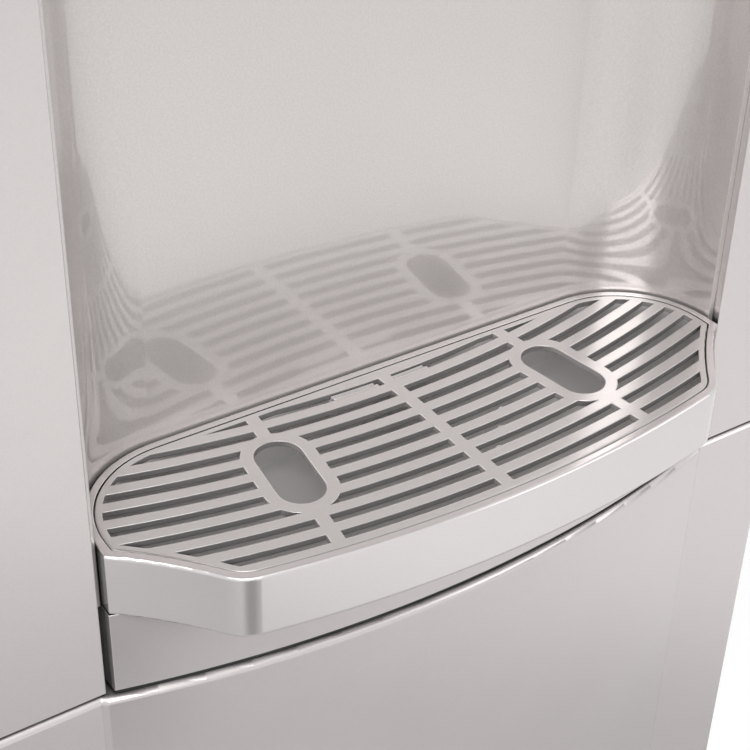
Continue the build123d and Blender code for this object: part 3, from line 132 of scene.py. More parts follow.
class Surface:
    """One Principled material whose colour, roughness and normal come from layered noises."""

    def __init__(self, name, colour, roughness, metallic=0.0, **constants):
        self.material = bpy.data.materials.new(name)
        self.material.use_nodes = True
        self.tree = self.material.node_tree
        self.shader = self.tree.nodes["Principled BSDF"]
        plain = {"Base Color": (*colour, 1), "Roughness": roughness, "Metallic": metallic}
        for socket, value in {**plain, **constants}.items():
            self.shader.inputs[socket.replace("_", " ")].default_value = value
        self.colour = None
        self.roughness = None
        self.normal = None
        self.base = colour
        self.rough = roughness
        self.place = self.add("ShaderNodeTexCoord").outputs["Object"]

    def add(self, kind, inputs=None, **settings):
        return add_node(self.tree, kind, inputs, **settings)

    def stretched(self, scale=(1, 1, 1)):
        """Object coordinates in metres, stretched along the axes."""
        node = self.add("ShaderNodeMapping", {"Vector": self.place, "Scale": scale})
        return node.outputs["Vector"]

    def noise(self, per_metre, detail=2.0, stretch=(1, 1, 1), distortion=0.0):
        inputs = {
            "Vector": self.stretched(stretch),
            "Scale": per_metre,
            "Detail": detail,
            "Distortion": distortion,
        }
        return self.add("ShaderNodeTexNoise", inputs).outputs["Fac"]

    def cells(self, per_metre, output="Distance"):
        inputs = {"Vector": self.stretched(), "Scale": per_metre}
        return self.add("ShaderNodeTexVoronoi", inputs).outputs[output]

    def ranged(self, value, low, high, start=0.3, end=0.7):
        """The value's start-to-end range spread over low to high."""
        span = {"From Min": start, "From Max": end, "To Min": low, "To Max": high}
        return mapped(self.tree, value, span)

    def mixed(self, amount, first, second):
        return mixed_colour(self.tree, amount, first, second)

    def shade(self, amount, tint):
        """Where amount is 1 the colour becomes tint, over what is there already."""
        under = self.colour or (*self.base, 1)
        self.colour = self.mixed(amount, under, (*tint, 1))

    def speckle(self, value, amount):
        """Adds black grains where value is low and white ones where it is high."""
        self.colour = self.mixed(amount, self.colour, self.mixed(value, BLACK, WHITE))

    def vary(self, value, spread):
        """Colour a little lighter and darker with a noise."""
        darker = (*scaled(self.base, 1 - spread), 1)
        lighter = (*scaled(self.base, 1 + spread), 1)
        self.colour = self.mixed(self.ranged(value, 0, 1), darker, lighter)

    def roughen(self, value, spread):
        """Roughness a little lower and higher with a noise."""
        low, high = max(self.rough - spread, 0.02), min(self.rough + spread, 1)
        self.roughness = self.ranged(value, low, high)

    def bump(self, height, depth, strength=1.0):
        """Raises the surface by depth metres where height is 1."""
        inputs = {"Height": height, "Distance": depth, "Strength": strength}
        if self.normal:
            inputs["Normal"] = self.normal
        self.normal = self.add("ShaderNodeBump", inputs).outputs["Normal"]

    def soften(self, radius):
        """Rounds every sharp edge in the shading and returns how near an edge a point is."""
        rounded = self.add("ShaderNodeBevel", {"Radius": radius}, samples=BEVEL_SAMPLES)
        self.normal = rounded.outputs["Normal"]
        true = self.add("ShaderNodeNewGeometry").outputs["Normal"]
        agreement = measured(self.tree, "DOT_PRODUCT", self.normal, true)
        return self.ranged(agreement, 1, 0, start=0.80, end=0.99)

    def painted_crevice_shade(self, distance, most):
        """Painted shade: as much as most in deep crevices, 0 in the open."""
        reach = {"Distance": distance}
        node = self.add("ShaderNodeAmbientOcclusion", reach, samples=HOLLOW_SAMPLES)
        return self.ranged(node.outputs["AO"], most, 0, start=0.36, end=0.5)

    def front_and_rear(self, most):
        """Painted shade, with thinner paint there: as much as most on faces that look forward or
        back, 0 on the others.
        """
        facing = self.add("ShaderNodeNewGeometry").outputs["True Normal"]
        depth = self.add("ShaderNodeSeparateXYZ", {"Vector": facing}).outputs["Y"]
        steep = calculated(self.tree, "ABSOLUTE", depth)
        return self.ranged(steep, 0, most, start=0.3, end=0.8)

    def worn(self, radius, tint, amount):
        """Edge wear: the edges polished or chalked towards tint, broken up by a noise."""
        edge = self.soften(radius)
        patches = self.ranged(self.noise(WEAR_PATCHES, detail=3), 0.2, 1.0)
        rubbed = calculated(self.tree, "MULTIPLY", edge, patches)
        self.shade(calculated(self.tree, "MULTIPLY", rubbed, amount), tint)

    def done(self):
        layers = {"Base Color": self.colour, "Roughness": self.roughness, "Normal": self.normal}
        for socket, value in layers.items():
            if value:
                self.tree.links.new(value, self.shader.inputs[socket])
        return self.material


# ---------------------------------------------------------------- finishes
# A noise's or cell's first number is how many there are per metre, and depths are in metres.


def metallic_paint(
    name,
    colour,
    roughness=0.24,
    metallic=0.6,
    flake=0.02,
    grain=2600,
    walls=0.0,
    crevice=1.0,
    deep=0.015,
):
    """Satin silver paint: fine flake, faint clouds, painted shade in crevices and on walls, soft
    and slightly worn edges.
    """
    s = Surface(name, colour, roughness, metallic, Coat_Weight=0.12, Coat_Roughness=0.22)
    s.vary(s.noise(9, detail=3), spread=0.018)
    # Painted shade with thinner paint: faces looking forward or back, such as the slots' long
    # walls, are darker.
    if walls:
        s.shade(s.front_and_rear(walls), scaled(colour, WALL_SHADE))
    # Painted shade: the paint goes dark in crevices, where little light reaches.
    s.shade(s.painted_crevice_shade(deep, crevice), scaled(colour, CREVICE_SHADE))
    s.speckle(s.ranged(s.cells(grain, "Color"), 0, 1, start=0.2, end=0.8), amount=flake)
    s.roughen(s.noise(60, detail=4), spread=0.02)
    s.worn(radius=0.0006, tint=scaled(colour, 1.12), amount=0.5)
    s.bump(s.noise(grain, detail=2), depth=0.00001, strength=0.15)
    s.bump(s.noise(45, detail=2), depth=0.00025, strength=0.06)
    return s.done()


def moulded(
    name, colour, roughness=0.5, grain=1400, depth=0.00005, wear=None, blotch=0.05, **constants
):
    """Moulded plastic: fine spark-eroded grain, faint flow marks and rubbed edges."""
    rubbed = wear or tuple(min(c * 1.35 + 0.02, 1) for c in colour)
    s = Surface(name, colour, roughness, **constants)
    s.vary(s.noise(30, detail=4, distortion=0.6), spread=blotch)
    s.roughen(s.noise(110, detail=4), spread=0.06)
    s.worn(radius=0.0004, tint=rubbed, amount=0.45)
    s.bump(s.noise(grain, detail=3), depth=depth, strength=0.5)
    return s.done()


def lacquered(name, colour, roughness=0.315, metallic=0.55, grain=1500):
    """Silver base under clear gloss lacquer: fine speckle below, crisp faint reflections above."""
    lacquer = {"Coat_Weight": 1.0, "Coat_Roughness": 0.05, "Coat_IOR": 1.85}
    s = Surface(name, colour, roughness, metallic, **lacquer)
    s.vary(s.noise(7, detail=3), spread=0.02)
    s.speckle(s.ranged(s.noise(grain, detail=1), 0, 1, start=0.35, end=0.65), amount=0.045)
    s.roughen(s.noise(22, detail=4, stretch=(1, 1, 0.25)), spread=0.03)
    s.soften(0.0005)
    s.bump(s.noise(grain, detail=2), depth=0.00002, strength=0.25)
    s.bump(s.noise(30, detail=2), depth=0.00012, strength=0.06)
    return s.done()


def galvanised(name, colour):
    """Zinc coated sheet: broad crystal spangle, dull grey sheen and brighter cut edges."""
    s = Surface(name, colour, roughness=0.42, metallic=0.85)
    spangle = s.add("ShaderNodeRGBToBW", {"Color": s.cells(140, "Color")}).outputs[0]
    s.vary(spangle, spread=0.05)
    s.roughen(spangle, spread=0.05)
    s.shade(s.ranged(s.noise(14, detail=5), 0, 0.12, start=0.5, end=0.75), (0.42, 0.43, 0.44))
    s.worn(radius=0.0005, tint=(0.85, 0.85, 0.86), amount=0.6)
    s.bump(s.noise(700, detail=3), depth=0.00003, strength=0.3)
    return s.done()


def bare_metal(name, colour, roughness, stain, stretch=(1, 1, 1), grain=900):
    """Plated, drawn or brushed metal with handling stains and bright edges."""
    s = Surface(name, colour, roughness, metallic=1.0)
    s.vary(s.noise(60, detail=3, stretch=stretch), spread=0.06)
    handled = s.noise(24, detail=6, distortion=1.2)
    s.shade(s.ranged(handled, 0, 0.55, start=0.48, end=0.72), stain)
    s.roughen(s.noise(150, detail=4, stretch=stretch), spread=0.09)
    s.worn(radius=0.0003, tint=scaled(colour, 1.15), amount=0.6)
    s.bump(s.noise(grain, detail=2, stretch=stretch), depth=0.00003, strength=0.35)
    return s.done()


def enamel(name, colour):
    """Black stove enamel: orange peel, dust in patches and chipped grey edges."""
    s = Surface(name, colour, roughness=0.33, Coat_Weight=0.3, Coat_Roughness=0.15)
    s.vary(s.noise(20, detail=3), spread=0.2)
    s.shade(s.ranged(s.noise(35, detail=6), 0, 0.3, start=0.5, end=0.75), (0.10, 0.095, 0.09))
    s.roughen(s.noise(90, detail=4), spread=0.12)
    s.worn(radius=0.0004, tint=(0.22, 0.21, 0.2), amount=0.5)
    s.bump(s.noise(420, detail=2), depth=0.00012, strength=0.3)
    return s.done()


def rubber(name, colour, roughness=0.78):
    """Soft rubber: fine matt grain, bloom and dusty edges."""
    s = Surface(name, colour, roughness, Sheen_Weight=0.12, Sheen_Roughness=0.5)
    s.vary(s.noise(70, detail=4), spread=0.25)
    s.shade(s.ranged(s.noise(40, detail=6), 0, 0.35, start=0.5, end=0.7), (0.13, 0.125, 0.12))
    s.roughen(s.noise(200, detail=4), spread=0.1)
    s.worn(radius=0.0006, tint=(0.16, 0.155, 0.15), amount=0.5)
    s.bump(s.noise(1600, detail=3), depth=0.00008, strength=0.6)
    return s.done()


def clear_plastic(name, colour, transmission, roughness=0.25):
    """Natural or frosted plastic that lets some light through."""
    s = Surface(name, colour, roughness, Transmission_Weight=transmission, IOR=1.45)
    s.vary(s.noise(50, detail=3), spread=0.05)
    s.roughen(s.noise(160, detail=4), spread=0.07)
    s.worn(radius=0.0004, tint=scaled(colour, 1.1), amount=0.3)
    s.bump(s.noise(900, detail=3), depth=0.00004, strength=0.4)
    return s.done()


def bead_foam(name, colour, bead=260):
    """Moulded foam: packed beads with darker seams between them."""
    s = Surface(name, colour, roughness=0.85)
    beads = s.cells(bead)
    s.vary(s.noise(40, detail=3), spread=0.05)
    s.shade(s.ranged(beads, 0, 0.35, start=0.45, end=0.75), scaled(colour, 0.7))
    s.roughen(s.noise(150, detail=3), spread=0.08)
    s.bump(s.ranged(beads, 1, 0, start=0.1, end=0.8), depth=0.0006, strength=0.5)
    return s.done()


def circuit_board(name, colour):
    """Green lacquered board: copper tracks and pads under the lacquer."""
    s = Surface(name, colour, roughness=0.35, Coat_Weight=0.4, Coat_Roughness=0.1)
    s.vary(s.noise(80, detail=3), spread=0.08)
    pattern = {
        "Vector": s.stretched(),
        "Scale": 60.0,
        "Mortar Size": 0.012,
        "Color1": BLACK,
        "Color2": BLACK,
        "Mortar": WHITE,
    }
    tracks = s.add("ShaderNodeTexBrick", pattern, offset=0.35).outputs["Color"]
    s.shade(s.ranged(tracks, 0, 0.7, start=0, end=1), (0.16, 0.42, 0.22))
    s.roughen(s.noise(120, detail=3), spread=0.08)
    s.worn(radius=0.0003, tint=(0.75, 0.68, 0.42), amount=0.7)
    s.bump(tracks, depth=0.00004, strength=0.5)
    return s.done()


finishes = {
    "silver_paint": metallic_paint("silver_paint", (0.64, 0.60, 0.595)),
    "grille_paint": metallic_paint(
        "grille_paint", (0.645, 0.62, 0.613), walls=0.75, crevice=0.3, deep=0.006
    ),
    "tray_paint": metallic_paint("tray_paint", (0.68, 0.645, 0.645), 0.17, 0.65),
    "cabinet_paint": metallic_paint("cabinet_paint", (0.62, 0.60, 0.595), 0.42, 0.3, grain=900),
    "niche_steel": lacquered("niche_steel", (0.595, 0.553, 0.54)),
    "plain_steel": galvanised("plain_steel", (0.56, 0.57, 0.58)),
    "zinc_steel": bare_metal("zinc_steel", (0.62, 0.61, 0.58), 0.33, (0.5, 0.47, 0.38)),
    "magnet": moulded("magnet", (0.07, 0.07, 0.07), 0.7, wear=(0.2, 0.2, 0.2)),
    "grey_plastic": moulded("grey_plastic", (0.57, 0.555, 0.55), 0.34, blotch=0.03),
    "dark_plastic": moulded("dark_plastic", (0.028, 0.028, 0.03), 0.45),
    "light_plastic": moulded("light_plastic", (0.68, 0.675, 0.67), 0.4, blotch=0.03),
    "panel_gloss": moulded(
        "panel_gloss", (0.025, 0.025, 0.028), 0.12, depth=0.00001, Coat_Weight=0.6
    ),
    "button_plastic": metallic_paint("button_plastic", (0.6, 0.59, 0.59), 0.3, 0.5),
    "lens": clear_plastic("lens", (0.82, 0.86, 0.9), 0.5),
    "rubber": rubber("rubber", (0.022, 0.022, 0.022)),
    "hose": clear_plastic("hose", (0.8, 0.82, 0.82), 0.55, 0.35),
    "foam": bead_foam("foam", (0.82, 0.8, 0.74)),
    "tank_steel": bare_metal(
        "tank_steel", (0.62, 0.61, 0.6), 0.28, (0.5, 0.45, 0.36), stretch=(1, 1, 0.05)
    ),
    "copper": bare_metal("copper", (0.75, 0.36, 0.22), 0.3, (0.36, 0.17, 0.1)),
    "black_enamel": enamel("black_enamel", (0.014, 0.014, 0.015)),
    "pump_body": moulded("pump_body", (0.06, 0.06, 0.07), 0.5),
    "board": circuit_board("board", (0.015, 0.11, 0.04)),
}


def dress_nodes():
    """Every CAD node takes the finish of its material slot, and the bezel that of the tray."""
    for part in frame["record"]["subparts"]:
        node = nodes[part["node"]]
        slot_name = "tray_paint" if part["node"] == "tray_bezel" else part["material_slot"]
        if node.material_slots:
            for slot in node.material_slots:
                slot.material = finishes[slot_name]
        else:
            node.data.materials.append(finishes[slot_name])


# ---------------------------------------------------------------- small pieces

UP = Vector((0, 0, 1))
ALONG_X = Vector((1, 0, 0))
ALONG_Y = Vector((0, 1, 0))
TO_FRONT = Vector((0, -1, 0))

INK = 0.00012                           # height of a sign above its face
EDGE = 0.0002                           # rounding of a small piece's edges
EDGE_SEGMENTS = 2

# Grille and basin: a span in Z is its top and its bottom.
GRILLE_TOP = 0.660
GRILLE_THICKNESS = 0.002
GRILLE_SEAT = GRILLE_TOP - GRILLE_THICKNESS
ARC_CENTRE_Y = 0.227875                 # centre of the tray's lip and of the slots
REAR_SLOT = (0.34303, 0.34677)          # radii of the rearmost slot's edges
CLIP_SPANS = ((-0.0205, -0.0042), (0.0023, 0.0150))
CLIP_EDGE = 0.0001
PAD_WIDTH = 0.0013                      # extra width of the bar in front of a clip
PAD_OVERLAP = 0.0002                    # how far that pad reaches into the bar
PAD_Z = (GRILLE_TOP - 0.00002, GRILLE_SEAT)
SLIT = 0.0009                           # between a pad and the clip's tongue
TONGUE_REAR_GAP = 0.0003
TONGUE_END_GAP = 0.0004
TONGUE_Z = (GRILLE_TOP - 0.0007, GRILLE_SEAT - 0.0060)
CLIP_FRONT_Y = -0.1160
BASIN_REAR_Y = -0.112926                # rear wall of the basin, inside
CLIP_BITE = 0.0003                      # how far a clip's root reaches into that wall
ROOT_Z = (GRILLE_SEAT - 0.0002, GRILLE_SEAT - 0.0075)
RIB_INSET = 0.002                       # from the clip's ends
RIB_HALF_WIDTH = 0.0006
RIB_REAR_Y = -0.1127
RIB_Z = (GRILLE_SEAT - 0.007, GRILLE_SEAT - 0.0165)
GATE_MARKS = ((0.0216, 0.37728), (0.0152, 0.38491), (0.0087, 0.39254))   # X and radius
GATE_SIZE = (0.0010, 0.0009, 0.0006)    # half its width and length, and its corners' radius
GATE_Z = (GRILLE_TOP - 0.0003, GRILLE_SEAT + 0.0002)

# Dark strip on the door's top edge, painted shade for the seam under the tray shelf
PANEL_BOW = (0.4403, 0.277875)          # radius and centre Y of the bow of panel and door
SEAM_SHADE_BAND = (0.008, 0.0021)           # strip's rear and front edge, behind the door's face
SEAM_SHADE_REACH = 0.1125                   # half its length
SEAM_SHADE_THICKNESS = 0.0013
SEAM_SHADE_BITE = 0.0001                    # how far it reaches into the door
SEAM_SHADE_STEPS = 32

# Signs on the keys
BUTTON_DISH = (0.040, 0.001)            # radius and depth of the dish in each button
KEY_LAYER = 0.000004                    # each outline of a sign lies this much over the last
DROP_HEIGHT = 0.0092
WAVE_PITCH = 0.0026                     # from wave to wave
WAVE_SWING = 0.0007
WAVE_TURN = 0.9                         # radians from point to point
WAVE_POINTS = 9
WAVE_START = -0.0038
WAVE_STEP = 0.00095
WAVE_WIDTH = 0.0008
STAR_ARM = 0.0044
ARM_WIDTH = 0.0007
TWIG_ROOT = (0.0002, 0.0024)
TWIG_TIP = (0.0014, 0.0036)
TWIG_WIDTH = 0.0006

# Padlock beside the lock slide
LOCK_OFFSET = 0.0125                    # from the slide's end to the padlock's middle
LOCK_LAYER = 0.00001
LOCK_SIZE = (0.0021, 0.0017, 0.0004)    # half its width and height, and its corners' radius
LOCK_DROP = 0.0010
SHACKLE_RADIUS = 0.0013
SHACKLE_CENTRE = 0.0017
SHACKLE_FOOT = 0.0004
SHACKLE_WIDTH = 0.0006

# Marks on the rockers
ROCKER_PIVOT_Y = 0.164175
ROCKER_TILT = math.radians(8)
ROCKER_RADIUS = 0.0084
ROCKER_SPREAD = math.radians(30)        # each mark from the middle of the rocker's face
BAR_SIZE = (0.0003, 0.0013, 0.0002)     # half its width and length, and its corners' radius
RING_RADII = (0.0008, 0.0013)


def add_piece(name, mesh, slot, body, bevel=EDGE):
    """A closed mesh in the shared frame, finished as a material slot and riding on a body."""
    bmesh.ops.recalc_face_normals(mesh, faces=mesh.faces[:])
    data = bpy.data.meshes.new(name)
    mesh.to_mesh(data)
    mesh.free()
    piece = bpy.data.objects.new(name, data)
    bpy.context.scene.collection.objects.link(piece)
    data.materials.append(finishes[slot])
    if bevel:
        rounding = piece.modifiers.new("rounding", "BEVEL")
        rounding.width = bevel
        rounding.segments = EDGE_SEGMENTS
        rounding.limit_method = "ANGLE"
    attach(piece, body)
    return piece


def level(depth):
    """The same depth everywhere on an outline."""
    return lambda u, v: depth


def add_prism(mesh, outline, place, across, up, out, front, back):
    """A closed prism: the 2-D outline on the plane at place, from back to front along out."""
    rings = []
    for depth in (back, front):
        ring = [mesh.verts.new(place + across * u + up * v + out * depth(u, v)) for u, v in outline]
        rings.append(ring)
    mesh.faces.new(rings[0])
    mesh.faces.new(rings[1])
    count = len(outline)
    for i in range(count):
        j = (i + 1) % count
        mesh.faces.new((rings[0][i], rings[0][j], rings[1][j], rings[1][i]))


def add_slab(mesh, outline, span):
    """A closed level slab: the outline seen from above, between a top and a bottom height."""
    top, bottom = span
    place = Vector((0, 0, 0))
    add_prism(mesh, outline, place, ALONG_X, ALONG_Y, UP, level(top), level(bottom))


def add_ring(mesh, radii, place, across, up, out, front, back, steps=24):
    """A closed ring on the plane at place, from back to front along out."""
    inner, outer = radii
    turns = [2 * math.pi * i / steps for i in range(steps)]
    loops = []
    for radius, depth in ((inner, back), (outer, back), (outer, front), (inner, front)):
        loop = []
        for t in turns:
            spoke = (across * math.cos(t) + up * math.sin(t)) * radius
            loop.append(mesh.verts.new(place + spoke + out * depth))
        loops.append(loop)
    for first, second in zip(loops, loops[1:] + loops[:1]):
        for i in range(steps):
            j = (i + 1) % steps
            mesh.faces.new((first[i], first[j], second[j], second[i]))


def arc_outline(inner, outer, low_x, high_x, steps=8, centre_y=ARC_CENTRE_Y):
    """Strip between two radii about a centre behind, from low_x to high_x, seen from above."""
    xs = [low_x + (high_x - low_x) * i / steps for i in range(steps + 1)]
    far = [(x, centre_y - math.sqrt(outer**2 - x**2)) for x in xs]
    near = [(x, centre_y - math.sqrt(inner**2 - x**2)) for x in reversed(xs)]
    return far + near


def box_outline(low_x, high_x, low_y, high_y):
    return [(low_x, low_y), (high_x, low_y), (high_x, high_y), (low_x, high_y)]


def rounded_outline(half_width, half_height, radius, steps=4):
    corners = [(1, 1, 0), (-1, 1, 90), (-1, -1, 180), (1, -1, 270)]
    points = []
    for sx, sy, start in corners:
        for i in range(steps + 1):
            turn = math.radians(start + 90 * i / steps)
            x = sx * (half_width - radius) + radius * math.cos(turn)
            points.append((x, sy * (half_height - radius) + radius * math.sin(turn)))
    return points


def shifted(outline, du, dv):
    return [(u + du, v + dv) for u, v in outline]


def turned(outline, degrees):
    c, s = math.cos(math.radians(degrees)), math.sin(math.radians(degrees))
    return [(u * c - v * s, u * s + v * c) for u, v in outline]


def stroke(points, width):
    """Outline of a line of the given width through the points."""
    left, right = [], []
    for i, (u, v) in enumerate(points):
        before = points[max(i - 1, 0)]
        after = points[min(i + 1, len(points) - 1)]
        along = Vector((after[0] - before[0], after[1] - before[1])).normalized() * width / 2
        left.append((u - along.y, v + along.x))
        right.append((u + along.y, v - along.x))
    return left + right[::-1]


def drop_outline(height, steps=14):
    """Water drop: a round bottom drawn up to a point."""
    radius = height * 0.32
    sunk = height * 0.18                # the round part's middle, under the drop's middle
    shoulder = (radius * 0.42, height * 0.22)
    first_turn, whole_turn = -210, 240
    points = []
    for i in range(steps + 1):
        turn = math.radians(first_turn + whole_turn * i / steps)
        points.append((radius * math.cos(turn), radius * math.sin(turn) - sunk))
    return [*points, shoulder, (0, height * 0.5), (-shoulder[0], shoulder[1])]


def add_tray_details():
    """Spring clips at the basin's rear, the wider bars before them, and the grille's gate marks."""
    near, far = REAR_SLOT
    pads = bmesh.new()
    clips = bmesh.new()
    for low, high in CLIP_SPANS:
        add_slab(pads, arc_outline(far - PAD_WIDTH, far + PAD_OVERLAP, low, high), PAD_Z)
        tongue = arc_outline(
            near + TONGUE_REAR_GAP,
            far - PAD_WIDTH - SLIT,
            low + TONGUE_END_GAP,
            high - TONGUE_END_GAP,
        )
        add_slab(clips, tongue, TONGUE_Z)
        add_slab(clips, box_outline(low, high, CLIP_FRONT_Y, BASIN_REAR_Y + CLIP_BITE), ROOT_Z)
        for x in (low + RIB_INSET, high - RIB_INSET):
            rib = box_outline(x - RIB_HALF_WIDTH, x + RIB_HALF_WIDTH, CLIP_FRONT_Y, RIB_REAR_Y)
            add_slab(clips, rib, RIB_Z)
    add_piece("grille_clip_bars", pads, "grille_paint", "grille", 0)
    add_piece("basin_clips", clips, "grey_plastic", "tray", CLIP_EDGE)
    marks = bmesh.new()
    for x, radius in GATE_MARKS:
        y = ARC_CENTRE_Y - math.sqrt(radius**2 - x**2)
        add_slab(marks, shifted(rounded_outline(*GATE_SIZE), x, y), GATE_Z)
    add_piece("grille_gate_marks", marks, "grille_paint", "grille", 0)


def add_door_seam_shade_strip():
    """A soft dark strip on the door's top edge, which closes the seam under the tray shelf: painted
    shade that makes the seam's line black.
    """
    _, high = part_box("door_skin")
    radius, centre_y = PANEL_BOW
    rear, front = (radius - inset for inset in SEAM_SHADE_BAND)
    outline = arc_outline(rear, front, -SEAM_SHADE_REACH, SEAM_SHADE_REACH, SEAM_SHADE_STEPS, centre_y)
    mesh = bmesh.new()
    # Painted shade: this dark strip stands in for the shadow deep in the seam.
    add_slab(mesh, outline, (high.z + SEAM_SHADE_THICKNESS, high.z - SEAM_SHADE_BITE))
    add_piece("door_seam_shade_strip", mesh, "rubber", "door", 0)


def dished(front_y, lift):
    """Distance towards the front of a button's dished face, raised by lift."""
    radius, depth = BUTTON_DISH
    return lambda u, v: -front_y - depth - math.sqrt(radius**2 - u * u - v * v) + radius + lift


def wave_outlines():
    """Three wavy lines side by side."""
    outlines = []
    for k in (-1, 0, 1):
        wave = []
        for i in range(WAVE_POINTS):
            u = WAVE_SWING * math.sin(i * WAVE_TURN) + k * WAVE_PITCH
            wave.append((u, WAVE_START + WAVE_STEP * i))
        outlines.append(stroke(wave, WAVE_WIDTH))
    return outlines


def star_outlines():
    """Frost star: three crossing arms, with a twig on both sides of each of the six tips."""
    arm = stroke([(0, -STAR_ARM), (0, STAR_ARM)], ARM_WIDTH)
    outlines = [turned(arm, 60 * k) for k in range(3)]
    for k in range(6):
        for side in (-1, 1):
            twig = [(u * side, v) for u, v in (TWIG_ROOT, TWIG_TIP)]
            outlines.append(turned(stroke(twig, TWIG_WIDTH), 60 * k))
    return outlines


def add_button_symbols():
    """Plain signs on the keys: waves for hot, a drop for room and a frost star for cold."""
    signs = (
        ("hot_button", "hot_key", wave_outlines()),
        ("room_button", "room_key", [drop_outline(DROP_HEIGHT)]),
        ("cold_button", "cold_key", star_outlines()),
    )
    for node, body, outlines in signs:
        low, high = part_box(node)
        place = Vector(((low.x + high.x) / 2, 0, (low.z + high.z) / 2))
        back = dished(low.y, -INK)
        mesh = bmesh.new()
        for k, outline in enumerate(outlines):
            front = dished(low.y, INK + k * KEY_LAYER)
            add_prism(mesh, outline, place, ALONG_X, UP, TO_FRONT, front, back)
        add_piece(node.replace("button", "symbol"), mesh, "dark_plastic", body, 0)


def add_lock_symbol():
    """A small padlock beside the child lock's slide."""
    low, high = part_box("child_lock")
    place = Vector((high.x + LOCK_OFFSET, 0, (low.z + high.z) / 2))
    radius, centre_y = PANEL_BOW
    face = math.sqrt(radius**2 - place.x**2) - centre_y
    body = shifted(rounded_outline(*LOCK_SIZE), 0, -LOCK_DROP)
    turns = [math.radians(angle) for angle in range(0, 181, 20)]
    bow = [
        (SHACKLE_RADIUS * math.cos(t), SHACKLE_CENTRE + SHACKLE_RADIUS * math.sin(t)) for t in turns
    ]
    feet = [(side * SHACKLE_RADIUS, SHACKLE_FOOT) for side in (1, -1)]
    shackle = stroke([feet[0], *bow, feet[1]], SHACKLE_WIDTH)
    mesh = bmesh.new()
    for k, outline in enumerate((body, shackle)):
        front = level(face + INK + k * LOCK_LAYER)
        add_prism(mesh, outline, place, ALONG_X, UP, TO_FRONT, front, level(face - INK))
    add_piece("lock_symbol", mesh, "light_plastic", "cabinet", 0)


def add_rocker_marks():
    """A bar above and a ring below the middle of each rocker's rounded face."""
    bar = rounded_outline(*BAR_SIZE)
    switches = (("heating_switch", "heating_rocker"), ("cooling_switch", "cooling_rocker"))
    for node, body in switches:
        low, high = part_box(node)
        pivot = Vector(((low.x + high.x) / 2, ROCKER_PIVOT_Y, (low.z + high.z) / 2))
        mesh = bmesh.new()
        for side in (1, -1):
            lean = ROCKER_TILT + side * ROCKER_SPREAD
            out = Vector((0, math.cos(lean), math.sin(lean)))
            up = Vector((0, -math.sin(lean), math.cos(lean)))
            place = pivot + out * ROCKER_RADIUS
            if side > 0:
                add_prism(mesh, bar, place, ALONG_X, up, out, level(INK), level(-2 * INK))
            else:
                add_ring(mesh, RING_RADII, place, ALONG_X, up, out, INK, -2 * INK)
        add_piece(node.replace("switch", "marks"), mesh, "light_plastic", body, 0)


# ---------------------------------------------------------------- stage and light

FLOOR_HALF = 6.0                        # half the floor's side
FLOOR_PAPER = (0.6, 0.6, 0.6)
FLOOR_ROUGHNESS = 0.9
SHADED_REFLECTION_PAPER = (0.09, 0.09, 0.09)     # painted shadow and painted dark reflection: the floor's colour in reflections, where it is greyer
DARK_REFLECTION_PATCH = (-0.32, -1.02, 0)           # painted dark reflection: middle of the floor's greyer patch, seen only in reflections
DARK_REFLECTION_SIZE = (0.3, 0.4, 1)               # half its width and length
DARK_REFLECTION_RANGE = {"From Min": 0.45, "From Max": 1.15, "To Min": 0.0, "To Max": 1.0}
REFLECTED_SHADOW_CENTRE = (-0.2, 0, 0)              # painted shadow: the floor is greyer in reflections near this point
REFLECTED_SHADOW_RANGE = {"From Min": 0.8, "From Max": 1.04, "To Min": 0.45, "To Max": 1.0}
MIRRORED_LIFT = 0.6                     # glow of the floor in reflections
LIFT_RANGE = {"From Min": 0.9, "From Max": 2.6, "To Min": 0.58, "To Max": 0.84}
AMBIENT = 0.3
LAMP_AIM = (0, 0, 0.8)
LAMPS = (                               # name, place, side length and watts
    ("key", (-0.7, -1.4, 1.9), 1.5, 29.5),
    ("fill", (1.4, -1.6, 1.2), 1.2, 7),
    ("back_fill", (0.6, 2.4, 1.5), 2.2, 18),
)


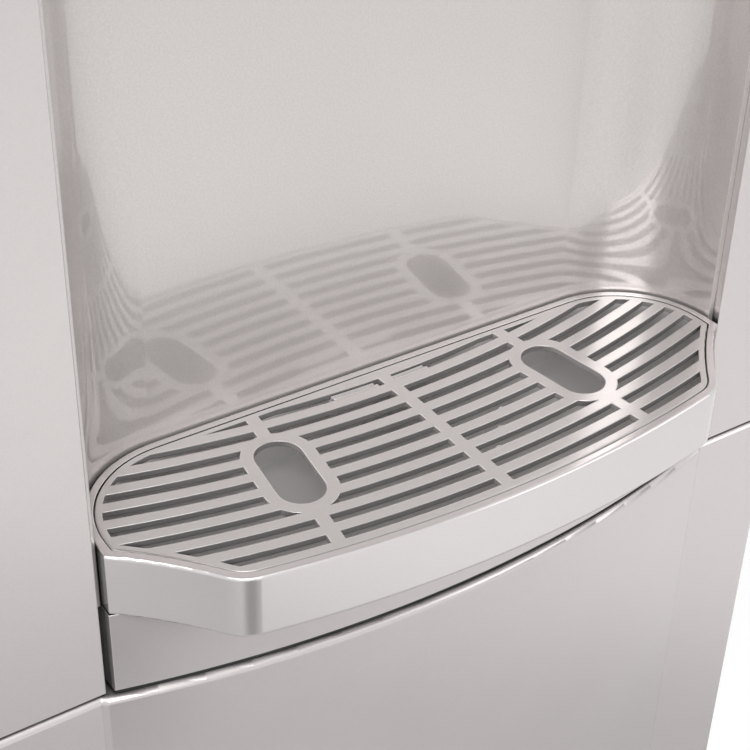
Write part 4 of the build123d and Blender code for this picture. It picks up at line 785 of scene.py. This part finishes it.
def stage_material(name, colour):
    """Pale paper that glows towards white for the camera, more so far away.

    In reflections it glows less, and it is greyer near the cooler and on a patch seen only there: a
    painted shadow and a painted dark reflection.
    """
    material = bpy.data.materials.new(name)
    material.use_nodes = True
    tree = material.node_tree
    shader = tree.nodes["Principled BSDF"]
    place = add_node(tree, "ShaderNodeTexCoord").outputs["Object"]
    patch_inputs = {"Vector": place, "Location": DARK_REFLECTION_PATCH, "Scale": DARK_REFLECTION_SIZE}
    on_dark_patch = add_node(tree, "ShaderNodeMapping", patch_inputs, vector_type="TEXTURE")
    away = measured(tree, "LENGTH", on_dark_patch.outputs["Vector"])
    reach = measured(tree, "DISTANCE", place, REFLECTED_SHADOW_CENTRE)
    off_dark_patch = mapped(tree, away, DARK_REFLECTION_RANGE, "SMOOTHSTEP")
    near = mapped(tree, reach, REFLECTED_SHADOW_RANGE, "SMOOTHSTEP")
    lift = mapped(tree, reach, LIFT_RANGE)
    rays = add_node(tree, "ShaderNodeLightPath").outputs
    mirrored = rays["Is Glossy Ray"]
    # Painted shadow and painted dark reflection: reflected floor is greyer near the cooler and on
    # the patch.
    pale = calculated(tree, "MULTIPLY", mirrored, calculated(tree, "MULTIPLY", off_dark_patch, near))
    reflected_shade = calculated(tree, "SUBTRACT", mirrored, pale)
    paper = mixed_colour(tree, reflected_shade, (*colour, 1), (*SHADED_REFLECTION_PAPER, 1))
    seen = calculated(tree, "MAXIMUM", rays["Is Camera Ray"], rays["Is Transmission Ray"])
    lifted = calculated(tree, "MULTIPLY", seen, lift)
    dimmed = calculated(tree, "MULTIPLY", pale, MIRRORED_LIFT)
    strength = calculated(tree, "MAXIMUM", lifted, dimmed)
    shader.inputs["Roughness"].default_value = FLOOR_ROUGHNESS
    shader.inputs["Emission Color"].default_value = WHITE
    tree.links.new(paper, shader.inputs["Base Color"])
    tree.links.new(strength, shader.inputs["Emission Strength"])
    return material


def add_floor():
    """A wide pale floor, level with the feet."""
    half = FLOOR_HALF
    corners = [(-half, -half, 0), (half, -half, 0), (half, half, 0), (-half, half, 0)]
    mesh = bpy.data.meshes.new("floor")
    mesh.from_pydata(corners, [], [(0, 1, 2, 3)])
    floor = bpy.data.objects.new("floor", mesh)
    bpy.context.scene.collection.objects.link(floor)
    floor.data.materials.append(stage_material("floor_paper", FLOOR_PAPER))


def add_world():
    """White where it is seen or reflected, and a soft ambient level for everything else."""
    world = bpy.data.worlds.new("studio")
    bpy.context.scene.world = world
    world.use_nodes = True
    tree = world.node_tree
    rays = add_node(tree, "ShaderNodeLightPath").outputs
    seen = rays["Is Camera Ray"]
    for ray in ("Is Glossy Ray", "Is Transmission Ray"):
        seen = calculated(tree, "MAXIMUM", seen, rays[ray])
    strength = mapped(tree, seen, {"To Min": AMBIENT, "To Max": 1.0})
    background = tree.nodes["Background"]
    background.inputs["Color"].default_value = WHITE
    tree.links.new(strength, background.inputs["Strength"])


def add_lamp(name, place, side, power):
    data = bpy.data.lights.new(name, "AREA")
    data.shape = "RECTANGLE"
    data.size = data.size_y = side
    data.energy = power
    lamp = bpy.data.objects.new(name, data)
    bpy.context.scene.collection.objects.link(lamp)
    lamp.location = place
    lamp.rotation_mode = "QUATERNION"
    lamp.rotation_quaternion = (Vector(LAMP_AIM) - Vector(place)).to_track_quat("-Z", "Y")


bpy.context.scene.view_settings.view_transform = "Standard"
add_camera()
dress_nodes()
add_tray_details()
add_door_seam_shade_strip()
add_button_symbols()
add_lock_symbol()
add_rocker_marks()
add_floor()
add_world()
for lamp in LAMPS:
    add_lamp(*lamp)
